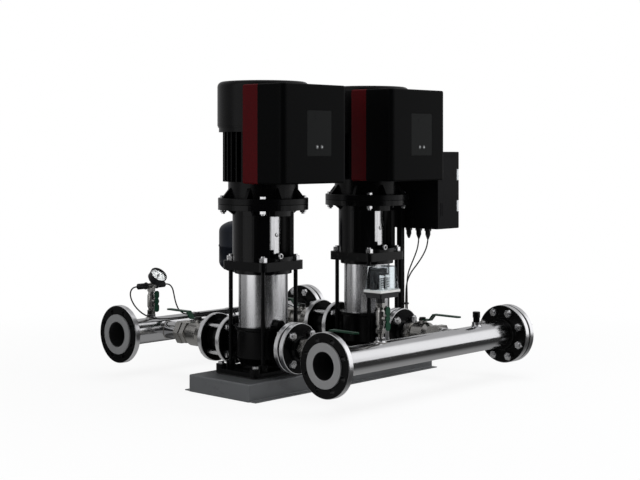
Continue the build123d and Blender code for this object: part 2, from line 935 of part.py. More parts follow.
def isolating_valve():
    """The valve along +Y from the origin, stem up."""
    middle = valve_length / 2
    body = TO_Y * valve_body()
    body += Pos(0, middle, 0) * rod(stem_boss_radius, stem_boss_top)
    body -= TO_Y * rod(branch_bore / 2, valve_length)
    body -= Pos(0, middle, 0) * Sphere(ball_radius + ball_gap)
    body -= Pos(0, middle, 0) * rod(stem_radius + stem_gap, stem_boss_top)
    return body


def gland_ring():
    ring = pipe(gland_radius, stem_radius + stem_gap, gland_height - 0.4, stem_boss_top)
    return Pos(0, valve_length / 2, 0) * ring


def union_nut():
    """The union behind the valve: a hexagonal nut round the tail's collar."""
    nut = hexagon(union_flats, union_length, valve_length)
    nut -= rod(tail_collar_radius + 0.1, tail_collar_length + 0.1, valve_length)
    nut -= rod(tail_radius + 0.1, union_length, valve_length)
    return TO_Y * nut


def valve_lever():
    """Ball, stem, lever and nut round the origin, lever towards +Y."""
    ball = Sphere(ball_radius)
    ball -= Pos(0, -ball_radius, 0) * TO_Y * rod(ball_bore, 2 * ball_radius)
    flat = stem_top
    ball += rod(stem_radius, flat + lever_thickness + 1 - ball_radius + 3, ball_radius - 3)
    bend = lever_flat + lever_slope
    side = make_face(Polyline(
        (-lever_tail, flat), (lever_flat, flat), (bend, flat + lever_lift), (lever_reach, flat + lever_lift),
        (lever_reach, flat + lever_lift + lever_thickness), (bend - 2, flat + lever_lift + lever_thickness),
        (lever_flat - 2, flat + lever_thickness), (-lever_tail, flat + lever_thickness), close=True))
    lever = Pos(-lever_width / 2, 0, 0) * extrude(Plane.YZ * side, lever_width)
    plan = Pos(0, (lever_reach - lever_tail) / 2) * RectangleRounded(lever_width, lever_reach + lever_tail, lever_width / 2 - 0.5)
    lever &= Pos(0, 0, flat) * extrude(plan, lever_lift + lever_thickness)
    lever -= rod(stem_radius, lever_thickness, flat)
    cap = rod(lever_cap_radius, lever_cap_height, flat + lever_thickness)
    cap -= rod(stem_radius, 1, flat + lever_thickness)
    return [ball, lever, cap]


def check_body():
    """A wafer check valve on Z: seat at its pump side, a spider that guides the disc at the other."""
    body = rod(check_valve_radius, check_valve_length)
    body -= rod(branch_bore / 2, check_seat_depth)
    body -= rod(check_chamber_radius, check_valve_length - check_seat_depth, check_seat_depth)
    spider = rod(check_stem_radius + 5, check_spider_thickness, check_spider_depth)
    for turn in range(3):
        arm = block((0, check_chamber_radius + 2), (-3, 3), (check_spider_depth, check_spider_depth + check_spider_thickness))
        spider += Rot(0, 0, turn * 120) * arm
    return body + spider - rod(check_stem_radius + stem_gap, check_spider_thickness, check_spider_depth)


def check_disc():
    """The disc and its guide stem, shut against the seat."""
    low = check_seat_depth
    return rod(check_disc_radius, check_disc_thickness, low) + rod(check_stem_radius, 36, low)


# Manifolds


def loose_flange():
    """A loose flange on Z with its sealing side at z = 0 and a short hub behind."""
    thick = manifold_flange_thickness
    disc = chamfer(rod(manifold_flange / 2, thick).edges(), rim_chamfer)
    hub = turned((0, thick - 1), (flange_hub_radius, thick - 1), (flange_hub_radius - 5, thick + flange_hub_length), (0, thick + flange_hub_length))
    body = disc + hub - rod(manifold_radius + manifold_clearance, thick + flange_hub_length)
    return drilled(body, manifold_bolt_circle, manifold_bolt_count, bolt_hole, thick)


def blind_flange():
    thick = manifold_flange_thickness
    disc = chamfer(rod(manifold_flange / 2, thick).edges(), rim_chamfer)
    return drilled(disc, manifold_bolt_circle, manifold_bolt_count, bolt_hole, thick)


def manifold(near, y, side, sockets):
    """A welded header: tube, end collars, two branch tails and its sockets."""
    length = manifold_far - near
    along = Pos(near, y, port_z) * TO_X
    wall_radius = manifold_radius - manifold_wall
    outer = along * (rod(manifold_radius, length) + rod(collar_radius, collar_thickness)
                     + rod(collar_radius, collar_thickness, length - collar_thickness))
    inner = along * rod(wall_radius, length)
    turn = TO_Y if side > 0 else TO_FRONT
    for x in pump_x:
        start = Pos(x, y, port_z) * turn
        outer += start * rod(tail_radius, tail_length)
        outer += start * rod(tail_collar_radius, tail_collar_length, tail_length - tail_collar_length)
        inner += start * rod(tail_radius - tail_wall, tail_length)
    top = port_z + manifold_radius
    for x in sockets:
        seat = top - 3
        outer += Pos(x, y, 0) * turned((0, seat), (socket_foot_radius, seat), (socket_radius, top + 4), (socket_radius, top + socket_height), (0, top + socket_height))
        inner += Pos(x, y, 0) * rod(small_valve_bore, top + socket_height - port_z, port_z)
    return outer - inner


def manifold_end(near, y):
    """The two loose flanges and the blind flange of one manifold."""
    near_flange = Pos(near + collar_thickness, y, port_z) * TO_X * loose_flange()
    far_flange = Pos(manifold_far - collar_thickness, y, port_z) * Rot(0, -90, 0) * loose_flange()
    blind = Pos(manifold_far + gasket_thickness, y, port_z) * TO_X * blind_flange()
    return [near_flange, far_flange, blind]


def manifold_bolts(y):
    start = manifold_far + gasket_thickness + manifold_flange_thickness
    grip = 2 * manifold_flange_thickness + collar_thickness + gasket_thickness
    places = PolarLocations(manifold_bolt_circle / 2, manifold_bolt_count, 180 / manifold_bolt_count)
    along = Pos(start, y, port_z) * Rot(0, -90, 0)
    return [along * place * piece for place in places for piece in hex_bolt(manifold_bolt, grip)]


# Small valves, gauge and sensors

socket_top = port_z + manifold_radius + socket_height
small_middle = small_valve_length / 2
gauge_valve_z = socket_top
switch_valve_z = socket_top + switch_rise
tank_valve_z = socket_top
cross_z = gauge_valve_z + small_valve_length
valve_places = (
    Pos(gauge_x, discharge_y, gauge_valve_z),
    Pos(switch_x, suction_y, switch_valve_z),
)


def small_valve(length, handle=True):
    """A small ball valve on Z from z = 0, its stem towards -Y."""
    middle = length / 2
    radius = small_valve_radius
    body = turned(
        (0, 1), (radius - 3, 1), (radius - 3, middle - 26), (radius, middle - 20), (radius, middle + 20),
        (radius - 3, middle + 26), (radius - 3, length - 1), (0, length - 1),
    )
    body += hexagon(small_valve_flats, small_valve_end) + hexagon(small_valve_flats, small_valve_end, length - small_valve_end)
    body -= rod(small_valve_bore, length)
    if handle:
        stem = Pos(0, 0, middle) * TO_FRONT
        body += stem * rod(small_boss_radius, small_boss_reach)
        body -= Pos(0, 0, middle) * Sphere(small_ball_radius + ball_gap)
        body -= stem * rod(small_stem_radius + stem_gap, small_boss_reach)
    return body


def tee_handle():
    """Ball, stem and butterfly handle round the origin, the stem towards -Y."""
    ball = Sphere(small_ball_radius) - rod(small_valve_bore, 40, -20)
    stem = rod(small_stem_radius, small_handle_reach + small_handle_thickness - small_ball_radius + 2, small_ball_radius - 2)
    ball += TO_FRONT * stem
    half = small_handle_length / 2
    wing = small_handle_width / 2
    waist = small_handle_waist / 2
    grip = Pos(0, half - 14) * RectangleRounded(small_handle_width, 28, wing - 1)
    grip += Pos(0, 14 - half) * RectangleRounded(small_handle_width, 28, wing - 1)
    grip += Rectangle(2 * waist, small_handle_length - 30) + Circle(wing)
    handle = Pos(0, -small_handle_reach, 0) * extrude(Plane.XZ * grip, small_handle_thickness)
    return [ball, handle - TO_FRONT * rod(small_stem_radius, 60)]


def nipple(length, radius=8.0):
    return rod(radius, length) - rod(small_valve_bore, length)


def cross():
    """The block above the gauge valve that carries the sensors and the gauge."""
    body = rod(cross_radius, cross_height) + Pos(-cross_reach, 0, cross_height / 2) * TO_X * rod(cross_radius - 1, 2 * cross_reach)
    body += Pos(0, 0, cross_height / 2) * Rot(45, 0, 0) * rod(cross_radius - 1, 16)
    return body


def sensor(side):
    """A pressure sensor lying along X, its cable gland at the outer end."""
    hexed = hexagon(sensor_flats, sensor_hex)
    body_end = sensor_hex + sensor_body
    barrel = turned(
        (0, sensor_hex - 1), (sensor_radius, sensor_hex - 1), (sensor_radius, body_end - 2), (sensor_cap_radius, body_end),
        (cable_diameter / 2 + 1, body_end + sensor_cap), (0, body_end + sensor_cap),
    )
    return Rot(0, 90 * side, 0) * Pos(0, 0, cross_reach) * (hexed + barrel)


gauge_lift = cross_height / 2
gauge_back = 16 + gauge_stem_length
cross_centre = (gauge_x, discharge_y, cross_z + gauge_lift)
gauge_place = Pos(*cross_centre) * Rot(gauge_tilt, 0, 0)


def gauge_case():
    """Case, bezel, dial and stem round Z, the dial facing up before it is tilted."""
    start = gauge_back
    top = start + gauge_depth
    dial = top - gauge_dial_depth
    cup = turned(
        (0, start), (gauge_radius - 5, start), (gauge_radius - 1, start + 5), (gauge_radius - 1, top - 6), (gauge_radius, top - 5),
        (gauge_radius, top), (gauge_radius - gauge_rim, top), (gauge_radius - gauge_rim, dial), (0, dial),
    )
    cup += hexagon(14, 8, start - 8) + rod(gauge_stem_radius, gauge_stem_length, 16)
    return cup - rod(needle_pin_radius + 0.05, 5, dial - 5)


def gauge_glass():
    top = gauge_back + gauge_depth
    return rod(gauge_radius - gauge_rim - 0.1, gauge_glass_thickness, top - gauge_glass_thickness - 0.6)


def gauge_needle():
    """Needle, hub and pin; it points to the scale's zero at rest."""
    dial = gauge_back + gauge_depth - gauge_dial_depth
    height = dial + 2
    blade = make_face(Polyline((-needle_tail, -needle_width), (-needle_tail, needle_width), (needle_length, 0.4), (needle_length, -0.4), close=True))
    needle = Pos(0, 0, height) * extrude(blade, needle_thickness)
    needle += rod(needle_hub_radius, 2.4, height - 0.8) + rod(needle_pin_radius, height - dial + 4, dial - 4)
    return Rot(0, 0, needle_zero) * needle


# Pressure switch

switch_z = switch_valve_z + small_valve_length + switch_neck_height + switch_foot_height
switch_middle = switch_x + switch_shift


def switch_base():
    plate = extrude(RectangleRounded(switch_base_length, switch_base_width, switch_base_corner), switch_base_height)
    inset = 2 * switch_foot_inset
    foot = extrude(RectangleRounded(switch_base_length - inset, switch_base_width - inset, 6), switch_foot_height)
    body = plate + Pos(0, 0, -switch_foot_height) * foot
    body += Pos(-switch_shift, 0, 0) * hexagon(switch_neck_flats, switch_neck_height, -switch_foot_height - switch_neck_height)
    return Pos(switch_middle, suction_y, switch_z) * body


def switch_works():
    """Two set spindles with their springs, the arms' plate and the scale plate."""
    pieces = []
    for x in spindle_x:
        bar = rod(spindle_radius, spindle_height)
        for coil in range(5):
            bar += rod(spring_radius, 3.6, 6 + coil * 6.4)
        bar += hexagon(13, 5, spindle_height - 10)
        pieces.append(Pos(x, -8, 0) * bar)
    half = switch_plate_width / 2
    plate = block((-half, half), (8, 10), (0, switch_plate_height))
    plate += block((-half, half), (8, 30), (0, 3))
    pieces.append(plate)
    place = Pos(switch_middle, suction_y, switch_z + switch_base_height)
    return [place * piece for piece in pieces]


def switch_cover():
    """A clear hood that tapers upwards, open at the bottom."""
    length = switch_base_length - 2 * switch_cover_inset
    width = switch_base_width - 2 * switch_cover_inset
    wall = switch_cover_wall
    outer = extrude(RectangleRounded(length, width, 5), switch_cover_height, taper=switch_cover_taper)
    inner = extrude(RectangleRounded(length - 2 * wall, width - 2 * wall, 5 - wall), switch_cover_height - wall, taper=switch_cover_taper)
    return Pos(switch_middle, suction_y, switch_z + switch_base_height) * (outer - inner)


# Tank


def arc(centre, radius, start, end):
    """A circular arc between two angles in degrees."""
    angles = [radians(angle) for angle in (start, (start + end) / 2, end)]
    return ThreePointArc(*[(centre[0] + radius * cos(angle), centre[1] + radius * sin(angle)) for angle in angles])


def dome(radius, rise, knuckle, level, way):
    """A knuckle arc and a crown arc that meet smoothly, from the side to the axis."""
    reach = radius - knuckle
    crown = (reach ** 2 + rise ** 2 - knuckle ** 2) / (2 * (rise - knuckle))
    tilt = degrees(acos(reach / (crown - knuckle)))
    side = arc((reach, level), knuckle, 0, way * tilt)
    return side + arc((0, level + way * (rise - crown)), crown, way * tilt, way * 90)


def tank_section(shrink=0.0):
    """Half the tank's outline, smaller by a wall, as radius and height."""
    radius = tank_radius - shrink
    knuckle = tank_knuckle - shrink
    low = tank_bottom + tank_lower_dome
    high = low + tank_body
    upper = dome(radius, tank_upper_dome - shrink, knuckle, high, 1)
    lower = dome(radius, tank_lower_dome - shrink, knuckle, low, -1)
    top = high + tank_upper_dome - shrink
    bottom = low - tank_lower_dome + shrink
    return make_face(lower + upper + Line((radius, low), (radius, high)) + Line((0, top), (0, bottom)))


def strip(radius, z):
    """A rectangle between two radii and two heights."""
    return Pos((radius[0] + radius[1]) / 2, (z[0] + z[1]) / 2) * Rectangle(radius[1] - radius[0], z[1] - z[0])


def tank():
    middle = tank_bottom + tank_lower_dome + tank_body / 2
    foot = tank_bottom - tank_neck_height
    shell = tank_section() + strip((tank_radius - 1, tank_seam_radius), (middle - tank_seam_height / 2, middle + tank_seam_height / 2))
    shell += strip((0, tank_neck_radius), (foot, tank_bottom + 4))
    shell -= tank_section(tank_wall)
    shell -= strip((0, tank_bore), (foot, tank_bottom + 2 * tank_neck_height))
    gap = tank_wall + 0.3
    bladder = tank_section(gap) - tank_section(gap + tank_membrane_wall)
    bladder -= strip((0, tank_radius), (middle, tank_bottom + tank_lower_dome + tank_body + tank_upper_dome))
    bladder -= strip((0, 2 * tank_bore), (tank_bottom, middle))
    place = Pos(tank_x, discharge_y, 0)
    return [place * revolve(Plane.XZ * section, Axis.Z) for section in (shell, bladder)]


# Cabinet

cabinet_back = cabinet_front + cabinet_width
cabinet_top = cabinet_bottom + cabinet_height
cabinet_mouth = cabinet_left + cabinet_depth
door_x = cabinet_mouth + door_gap
door_out = door_x + door_depth
hinge_x = door_x
hinge_y = cabinet_back + hinge_radius + 0.6
hinge_z = (cabinet_bottom + hinge_inset, cabinet_top - hinge_inset - hinge_knuckle)


def shell_box(x, open_side):
    """A folded box between two X limits with one open side."""
    y = (cabinet_front, cabinet_back)
    z = (cabinet_bottom, cabinet_top)
    body = block(x, y, z)
    body = fillet(body.edges().filter_by(Axis.X), cabinet_corner)
    wall = cabinet_wall
    inner_x = (x[0] + wall, x[1] + 1) if open_side > 0 else (x[0] - 1, x[1] - wall)
    inner = block(inner_x, (y[0] + wall, y[1] - wall), (z[0] + wall, z[1] - wall))
    return body - fillet(inner.edges().filter_by(Axis.X), cabinet_corner - wall)


def hinge_leaf(x, z, low):
    """A knuckle on the hinge axis and the strap that joins it to a wall."""
    height = hinge_knuckle / 2 - hinge_gap / 2
    start = z + (0 if low else hinge_knuckle / 2 + hinge_gap / 2)
    knuckle = Pos(hinge_x, hinge_y, start) * rod(hinge_radius, height)
    strap = block(x, (cabinet_back, hinge_y), (start, start + height))
    return knuckle + strap


def cabinet_box():
    body = shell_box((cabinet_left, cabinet_mouth), 1)
    for y in gland_y:
        body -= Pos(gland_x, y, cabinet_bottom) * rod(gland_cap_radius, cabinet_wall)
    slot_z = cabinet_bottom + cabinet_slot_low
    for x in cabinet_slots:
        body -= block((x, x + cabinet_slot_width), (cabinet_front - 1, cabinet_front + cabinet_wall), (slot_z, slot_z + cabinet_slot_height))
    for z in hinge_z:
        body += hinge_leaf((hinge_x - 20, hinge_x), z, True)
        body += Pos(hinge_x, hinge_y, z) * rod(hinge_pin_radius, hinge_knuckle)
    back = cabinet_left + cabinet_wall
    plate = block((back + mounting_stand, back + mounting_stand + mounting_plate),
                  (cabinet_front + 20, cabinet_back - 20), (cabinet_bottom + 20, cabinet_top - 20))
    for y in (cabinet_front + 35, cabinet_back - 35):
        for z in (cabinet_bottom + 35, cabinet_top - 35):
            plate += Pos(back, y, z) * TO_X * rod(5, mounting_stand)
    return [body, plate]


def cabinet_door():
    body = shell_box((door_x, door_out), -1)
    for z in hinge_z:
        knuckle = hinge_leaf((hinge_x, hinge_x + 20), z, False)
        body += knuckle - Pos(hinge_x, hinge_y, z) * rod(hinge_pin_radius + stem_gap, hinge_knuckle)
    for z in latch_z():
        body -= latch_pocket(z)
        pin = Pos(latch_x, latch_y, z - 2) * rod(latch_pin_radius, latch_height + 4)
        body += block((latch_x - latch_depth - 2, door_out), (latch_y - 2, cabinet_front + latch_width + 5), (z - 3, z - latch_gap))
        body += block((latch_x - latch_depth - 2, door_out), (latch_y - 2, cabinet_front + latch_width + 5), (z + latch_height + latch_gap, z + latch_height + 3))
        body += pin
    return body


latch_x = door_out - 4
latch_y = cabinet_front + 5


def latch_z():
    return [cabinet_bottom + place for place in latch_place]


def latch_pocket(z):
    """The notch in the door's corner that a latch lies in."""
    return block((door_out - latch_depth, door_out + 1), (cabinet_front - 1, cabinet_front + latch_width), (z - latch_gap, z + latch_height + latch_gap))


def latch(z):
    """A grey flap in the door's corner that turns on a pin along Z."""
    inner = door_out - latch_depth + latch_swing
    y = cabinet_front + latch_play
    flap = block((inner, door_out - latch_gap), (y, y + latch_width - 3 * latch_play), (z, z + latch_height))
    rise = latch_height / 4
    y = cabinet_front + cabinet_wall + latch_play
    flap += block((inner - latch_tongue, inner + 1), (y, y + 2.5), (z + rise, z + 3 * rise))
    return flap - Pos(latch_x, latch_y, z) * rod(latch_pin_radius + stem_gap, latch_height)


def cable_gland(y):
    """A gland under the cabinet: hexagon, cap, tapered mouth and a neck through the wall."""
    nut = cabinet_bottom - gland_nut_height
    cap = nut - gland_cap_height
    mouth = cap - gland_mouth_height
    top = cabinet_bottom + cabinet_wall + 6
    neck = gland_cap_radius - 0.1
    body = turned(
        (0, mouth), (cable_diameter / 2 + 1.2, mouth), (gland_cap_radius - 1, cap), (gland_cap_radius, cap + 1),
        (gland_cap_radius, nut), (neck, nut), (neck, top), (0, top),
    )
    return Pos(gland_x, y, 0) * (body + hexagon(2 * gland_nut_radius, gland_nut_height, nut))


def cabinet_post():
    """A square tube on a foot plate and the rail that carries the cabinet."""
    half = post_side / 2
    core = half - post_wall
    tube = block((post_x - half, post_x + half), (post_y - half, post_y + half), (deck + post_foot_thickness, post_top))
    tube -= block((post_x - core, post_x + core), (post_y - core, post_y + core), (deck + post_foot_thickness, post_top))
    foot = block((post_x - 14, post_x + 28), (post_y - post_foot / 2, post_y + post_foot / 2), (deck, deck + post_foot_thickness))
    for x, y in post_bolt_places():
        foot -= Pos(x, y, deck) * rod(post_bolt / 2 + 0.5, post_foot_thickness)
    rail_x = (cabinet_left - rail_thickness, cabinet_left)
    rails = []
    for z in rail_bottom:
        rails.append(block(rail_x, (rail_left, rail_right), (z, z + rail_height)))
    return [tube + foot, rails]


def post_bolts():
    grip = post_foot_thickness + base_sheet
    top = deck + post_foot_thickness
    return [Pos(x, y, top) * Rot(180, 0, 0) * piece for x, y in post_bolt_places() for piece in hex_bolt(post_bolt, grip)]


# Plugs


def vent_plug():
    """The vent plug that leaves the head's boss through the front window."""
    spot = Pos(vent_x, 0, stool_z + vent_rise) * TO_FRONT
    start = vent_lug_reach
    body = rod(vent_stem_radius, vent_reach - start, start) + hexagon(vent_flats, 11, vent_reach)
    body += rod(vent_stem_radius + 1, 8, vent_reach + 11) + rod(vent_stem_radius + 2, 2, vent_reach + 15)
    return spot * body


def priming_plug():
    return priming_place() * Pos(0, 0, plug_boss_length) * (rod(14, 5) + hexagon(13, 12))


def manifold_plug():
    top = port_z + manifold_radius + socket_height
    return Pos(plug_x, suction_y, top) * (rod(plug_radius, plug_neck) + hexagon(plug_flats, plug_head, plug_neck))


# Cables


def cable(route):
    """A round cable along straight runs with arcs as large as the runs allow."""
    points = [Vector(*point) for point in route]
    radii = []
    for before, corner, after in zip(points, points[1:], points[2:]):
        half_turn = radians((corner - before).get_angle(after - corner)) / 2
        shorter = min((corner - before).length, (after - corner).length)
        radii.append(0.45 * shorter / tan(half_turn))
    path = FilletPolyline(*points, radius=radii)
    section = Plane(origin=path @ 0, z_dir=path % 0) * Circle(cable_diameter / 2)
    tube = sweep(section, path)
    print("cable radii", [round(radius) for radius in radii], "length", round(path.length))
    print("volume", round(tube.volume), "section x length", round(pi * cable_diameter ** 2 / 4 * path.length))
    return tube


cable_start_z = cross_centre[2]
cable_start_reach = cross_reach + sensor_hex + sensor_body + sensor_cap
cable_end_z = cabinet_bottom - gland_nut_height - gland_cap_height - gland_mouth_height

# Corner points of the two routes, from the sensor over the manifold and up the post to a gland
cable_1_route = (
    (gauge_x - cable_start_reach, discharge_y, cable_start_z), (-388, discharge_y, cable_start_z),
    (-400.4, 519.5, 302), (-408.4, 517.5, 290), (-409.5, 513.5, 273), (-403, 508, 253), (-390, 502, 233), (-369, 496, 214), (-340, 491.5, 199.5), (-305, 489, 191), (-265, 489, 188),
    (-215, 489.3, 187.4), (-140, 489, 187), (-50, 489.4, 187.4), (40, 489, 187), (130, 489.4, 187.4), (215, 489, 187),
    (285, 489.3, 187.2), (328, 486, 185), (354, 472, 176), (366, 448, 163), (368, 416, 149), (368, 368, 132),
    (368, 300, 115), (371, 225, 98), (381, 163, 84), (400, 112, 72), (422, 72, 64.5), (435, 32, 62.5), (437, -8, 65),
    (436, -42, 66.5), (431, -67, 74), (421, -78, 92), (414, -74, 120), (411.4, -66, 158), (411, -60.4, 200),
    (411.2, -60, 255), (413, -62, 303), (430, -67, 340), (455, -82, 374), (474, -96, 410), (483.5, -103.5, 440),
    (gland_x, gland_y[0], cable_end_z),
)
cable_2_route = (
    (gauge_x + cable_start_reach, discharge_y, cable_start_z), (-234, discharge_y, cable_start_z),
    (-221.6, 519.5, 302), (-213.6, 517.5, 290), (-212.5, 512.5, 273), (-213, 506, 252), (-210, 500, 231), (-201, 497, 212), (-182, 496, 199), (-155, 496, 193), (-118, 496, 192),
    (-60, 496.4, 192.3), (30, 496, 192), (120, 496.4, 192.3), (210, 496, 192), (288, 496.3, 192.2), (336, 494, 190),
    (363, 480, 181), (374, 456, 168), (376.3, 422, 154), (376.5, 371, 137), (376.5, 301, 120), (379.5, 227, 103),
    (389, 166, 89), (408, 116, 77), (430, 75, 68.5), (443.5, 33, 64), (445.5, -8, 62), (445, -46, 63.5),
    (439.5, -75, 73), (429, -87, 94), (422, -82, 122), (419.3, -70, 160), (419, -60.4, 202), (419.2, -60, 257),
    (421, -57, 304), (433, -54, 341), (456, -52, 372), (475, -55, 406), (483.5, -60.5, 436),
    (gland_x, gland_y[1], cable_end_z),
)


def cable_clip(bores):
    """A clip on X round the two cables, from their places in its own plane."""
    plate = Pos(*clip_centre(bores)) * Rot(0, 0, clip_angle - 90) * RectangleRounded(clip_width, clip_height, 2)
    for spot in bores:
        plate -= Pos(*spot) * Circle(cable_diameter / 2 + 2 * cable_grip)
    return plate


def clip_centre(bores):
    return [sum(values) / len(bores) for values in zip(*bores)]


def manifold_clips():
    """Bands round the discharge manifold that hold the cables on top of it."""
    bores = [(489.1 - discharge_y, 187.1 - port_z), (496.1 - discharge_y, 192.05 - port_z)]
    band = Circle(manifold_radius + clip_band) - Circle(manifold_radius)
    plate = band + (cable_clip(bores) - Circle(manifold_radius))
    clip = extrude(plate, clip_length)
    return [Pos(x, discharge_y, port_z) * Rot(90, 90, 0) * clip for x in clip_x]


def post_clip():
    """The clip on the front of the post."""
    low = post_y - post_side / 2
    body = block((post_x - 5, post_x + clip_width - 5), (-60 - clip_height / 2, low), (clip_z, clip_z + clip_length))
    for x in (411.1, 419.1):
        body -= Pos(x, -60.2, clip_z) * rod(cable_diameter / 2 + 2 * cable_grip, clip_length)
    return body


parts = {}
both = [Pos(x, 0, 0) for x in pump_x]


def add(name, *shapes):
    parts[name] = solids(*shapes)


def at_both(*shapes):
    return [place * solid for place in both for solid in solids(*shapes)]


add("base_plate", base_plate())
add("pump_bolts", at_both(foot_bolts(), motor_bolts()), post_bolts())
add("pump_chambers", at_both(sleeve(), [bowl(stage_z(stage)) for stage in range(stage_count)]))
add("tie_rods", at_both(tie_rods()))
add("pump_heads", at_both(head()))
add("motor_stools", at_both(stool()))
add("coupling_guards", at_both(guard(0), guard(180)))
add("plugs", at_both(vent_plug(), priming_plug()), manifold_plug())
casting_shape = casting()
shaft_shape = rotor_shaft()
motor_shape = motor_housing()
for number, place in enumerate(both, 1):
    pump = f"pump_{number}_"
    add(pump + "casting", place * casting_shape)
    add(pump + "shaft", [place * solid for solid in solids(shaft_shape)])
    add(pump + "motor", place * motor_shape)
    add(pump + "fan", place * fan())
    add(pump + "fan_cover", place * fan_cover())
    add(pump + "drive_housing", place * drive_housing())
    add(pump + "drive_cover", place * drive_cover())
    left_key, right_key = [place * key(spot) for spot in key_places()]
    add(pump + "down_key", left_key)
    add(pump + "up_key", right_key)
add("keypads", at_both(keypad()))

add("suction_manifold", manifold(suction_near, suction_y, 1, (switch_x, plug_x)))
add("discharge_manifold", manifold(discharge_near, discharge_y, -1, (gauge_x, tank_x)))
add("manifold_flanges", manifold_end(suction_near, suction_y), manifold_end(discharge_near, discharge_y))

front_chain = [Pos(x, 0, port_z) * Rot(0, 0, 180) for x in pump_x]
rear_chain = [Pos(x, 0, port_z) for x in pump_x]
port_gasket = gasket(raised_face / 2, branch_bore / 2)
end_gasket = gasket(end_gasket_radius - gasket_margin, manifold_radius - manifold_wall)
seals = [Pos(x, 0, 0) * foot_pad() for x in pump_x]
flanges = []
valves = []
unions = []
levers = {}
checks = []
bolts = manifold_bolts(suction_y) + manifold_bolts(discharge_y)
hole_places = PolarLocations(branch_bolt_circle / 2, branch_bolt_count, 45)
for side, chain, flange_y, valve_y in (
    ("suction", front_chain, suction_flange_y, suction_valve_y),
    ("discharge", rear_chain, discharge_flange_y, discharge_valve_y),
):
    for number, place in enumerate(chain, 1):
        lay = place * TO_Y
        seals.append(lay * Pos(0, 0, port_face) * port_gasket)
        flanges.append(lay * Pos(0, 0, flange_y) * counter_flange())
        valves.append(place * Pos(0, valve_y, 0) * isolating_valve())
        valves.append(place * Pos(0, valve_y, 0) * gland_ring())
        unions.append(place * Pos(0, valve_y, 0) * union_nut())
        turn = Rot(0, 0, 0)
        levers[f"{side}_valve_{number}_lever"] = [place * Pos(0, valve_y + valve_length / 2, 0) * turn * piece for piece in valve_lever()]
        grip = flange_y + branch_flange_thickness - port_face + branch_flange_thickness
        start = port_face - branch_flange_thickness
        fastener = hex_bolt(branch_bolt, grip) if side == "suction" else stud(branch_bolt, grip)
        bolts += [lay * Pos(0, 0, start) * spot * piece for spot in hole_places for piece in fastener]
        if side == "discharge":
            seals.append(lay * Pos(0, 0, check_y + check_valve_length) * port_gasket)
            checks.append(lay * Pos(0, 0, check_y) * check_body())
            add(f"check_valve_{number}_disc", lay * Pos(0, 0, check_y) * check_disc())
for y in (suction_y, discharge_y):
    seals.append(Pos(manifold_far, y, port_z) * TO_X * end_gasket)
add("gaskets", seals)
add("counter_flanges", flanges)
add("valve_bodies", valves, unions)
add("check_valve_bodies", checks)
add("flange_bolts", bolts)
for name, pieces in levers.items():
    add(name, pieces)

small_fittings = [place * small_valve(small_valve_length) for place in valve_places]
small_fittings.append(Pos(tank_x, discharge_y, tank_valve_z) * small_valve(tank_bottom - tank_neck_height - tank_valve_z, handle=False))
small_fittings.append(Pos(switch_x, suction_y, socket_top) * nipple(switch_rise))
small_fittings.append(Pos(gauge_x, discharge_y, cross_z) * cross())
add("small_valves", small_fittings)
for name, place in zip(("gauge_valve_handle", "switch_valve_handle"), valve_places):
    add(name, [place * Pos(0, 0, small_middle) * piece for piece in tee_handle()])
add("pressure_sensors", [Pos(*cross_centre) * sensor(side) for side in (-1, 1)])
add("gauge_case", gauge_place * gauge_case())
add("gauge_glass", gauge_place * gauge_glass())
add("gauge_needle", gauge_place * gauge_needle())
add("pressure_switch_base", switch_base())
add("pressure_switch_works", switch_works())
add("pressure_switch_cover", switch_cover())
add("tank", tank())

add("cabinet_box", cabinet_box())
add("cabinet_door", cabinet_door())
for name, z in zip(("cabinet_lower_latch", "cabinet_upper_latch"), latch_z()):
    add(name, latch(z))
add("cable_fittings", [cable_gland(y) for y in gland_y], manifold_clips(), post_clip())
add("sensor_cable_1", cable(cable_1_route))
add("sensor_cable_2", cable(cable_2_route))
add("cabinet_post", cabinet_post())

os.makedirs("parts", exist_ok=True)
for name, pieces in parts.items():
    export_step(Compound(children=pieces), f"parts/{name}.step")
print(len(parts), "nodes", sum(len(pieces) for pieces in parts.values()), "solids")
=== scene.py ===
# %% [markdown]
# # A booster pump set in a studio
# The real set is a ready-made water plant: a suction header in front, a discharge header behind, and
# vertical pumps between them with their drives on top. The rigid parts come from the CAD model as a
# fixed frame. This scene gives them finishes and adds what is too fine for CAD.

# %% Load the CAD frame
import bmesh
import bpy
from math import cos, hypot, pi, radians, sin, sqrt
from mathutils import Matrix, Vector


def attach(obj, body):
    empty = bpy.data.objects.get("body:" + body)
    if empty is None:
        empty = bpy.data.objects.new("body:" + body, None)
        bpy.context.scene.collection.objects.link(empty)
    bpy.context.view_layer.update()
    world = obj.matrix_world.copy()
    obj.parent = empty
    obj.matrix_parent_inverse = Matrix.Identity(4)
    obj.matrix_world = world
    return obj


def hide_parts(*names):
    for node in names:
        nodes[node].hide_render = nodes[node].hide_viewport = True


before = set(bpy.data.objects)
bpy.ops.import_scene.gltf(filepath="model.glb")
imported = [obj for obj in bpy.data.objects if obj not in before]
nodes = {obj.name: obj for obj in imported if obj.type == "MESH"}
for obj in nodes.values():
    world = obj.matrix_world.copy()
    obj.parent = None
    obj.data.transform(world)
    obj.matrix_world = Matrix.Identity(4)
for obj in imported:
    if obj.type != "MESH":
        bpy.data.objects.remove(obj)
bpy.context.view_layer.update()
scene = bpy.context.scene

# %% [markdown]
# ## The camera
# A product camera far away with a long lens keeps uprights straight. The camera is level, and a
# vertical shift brings the set into the picture instead of a tilt, as an architect does it.

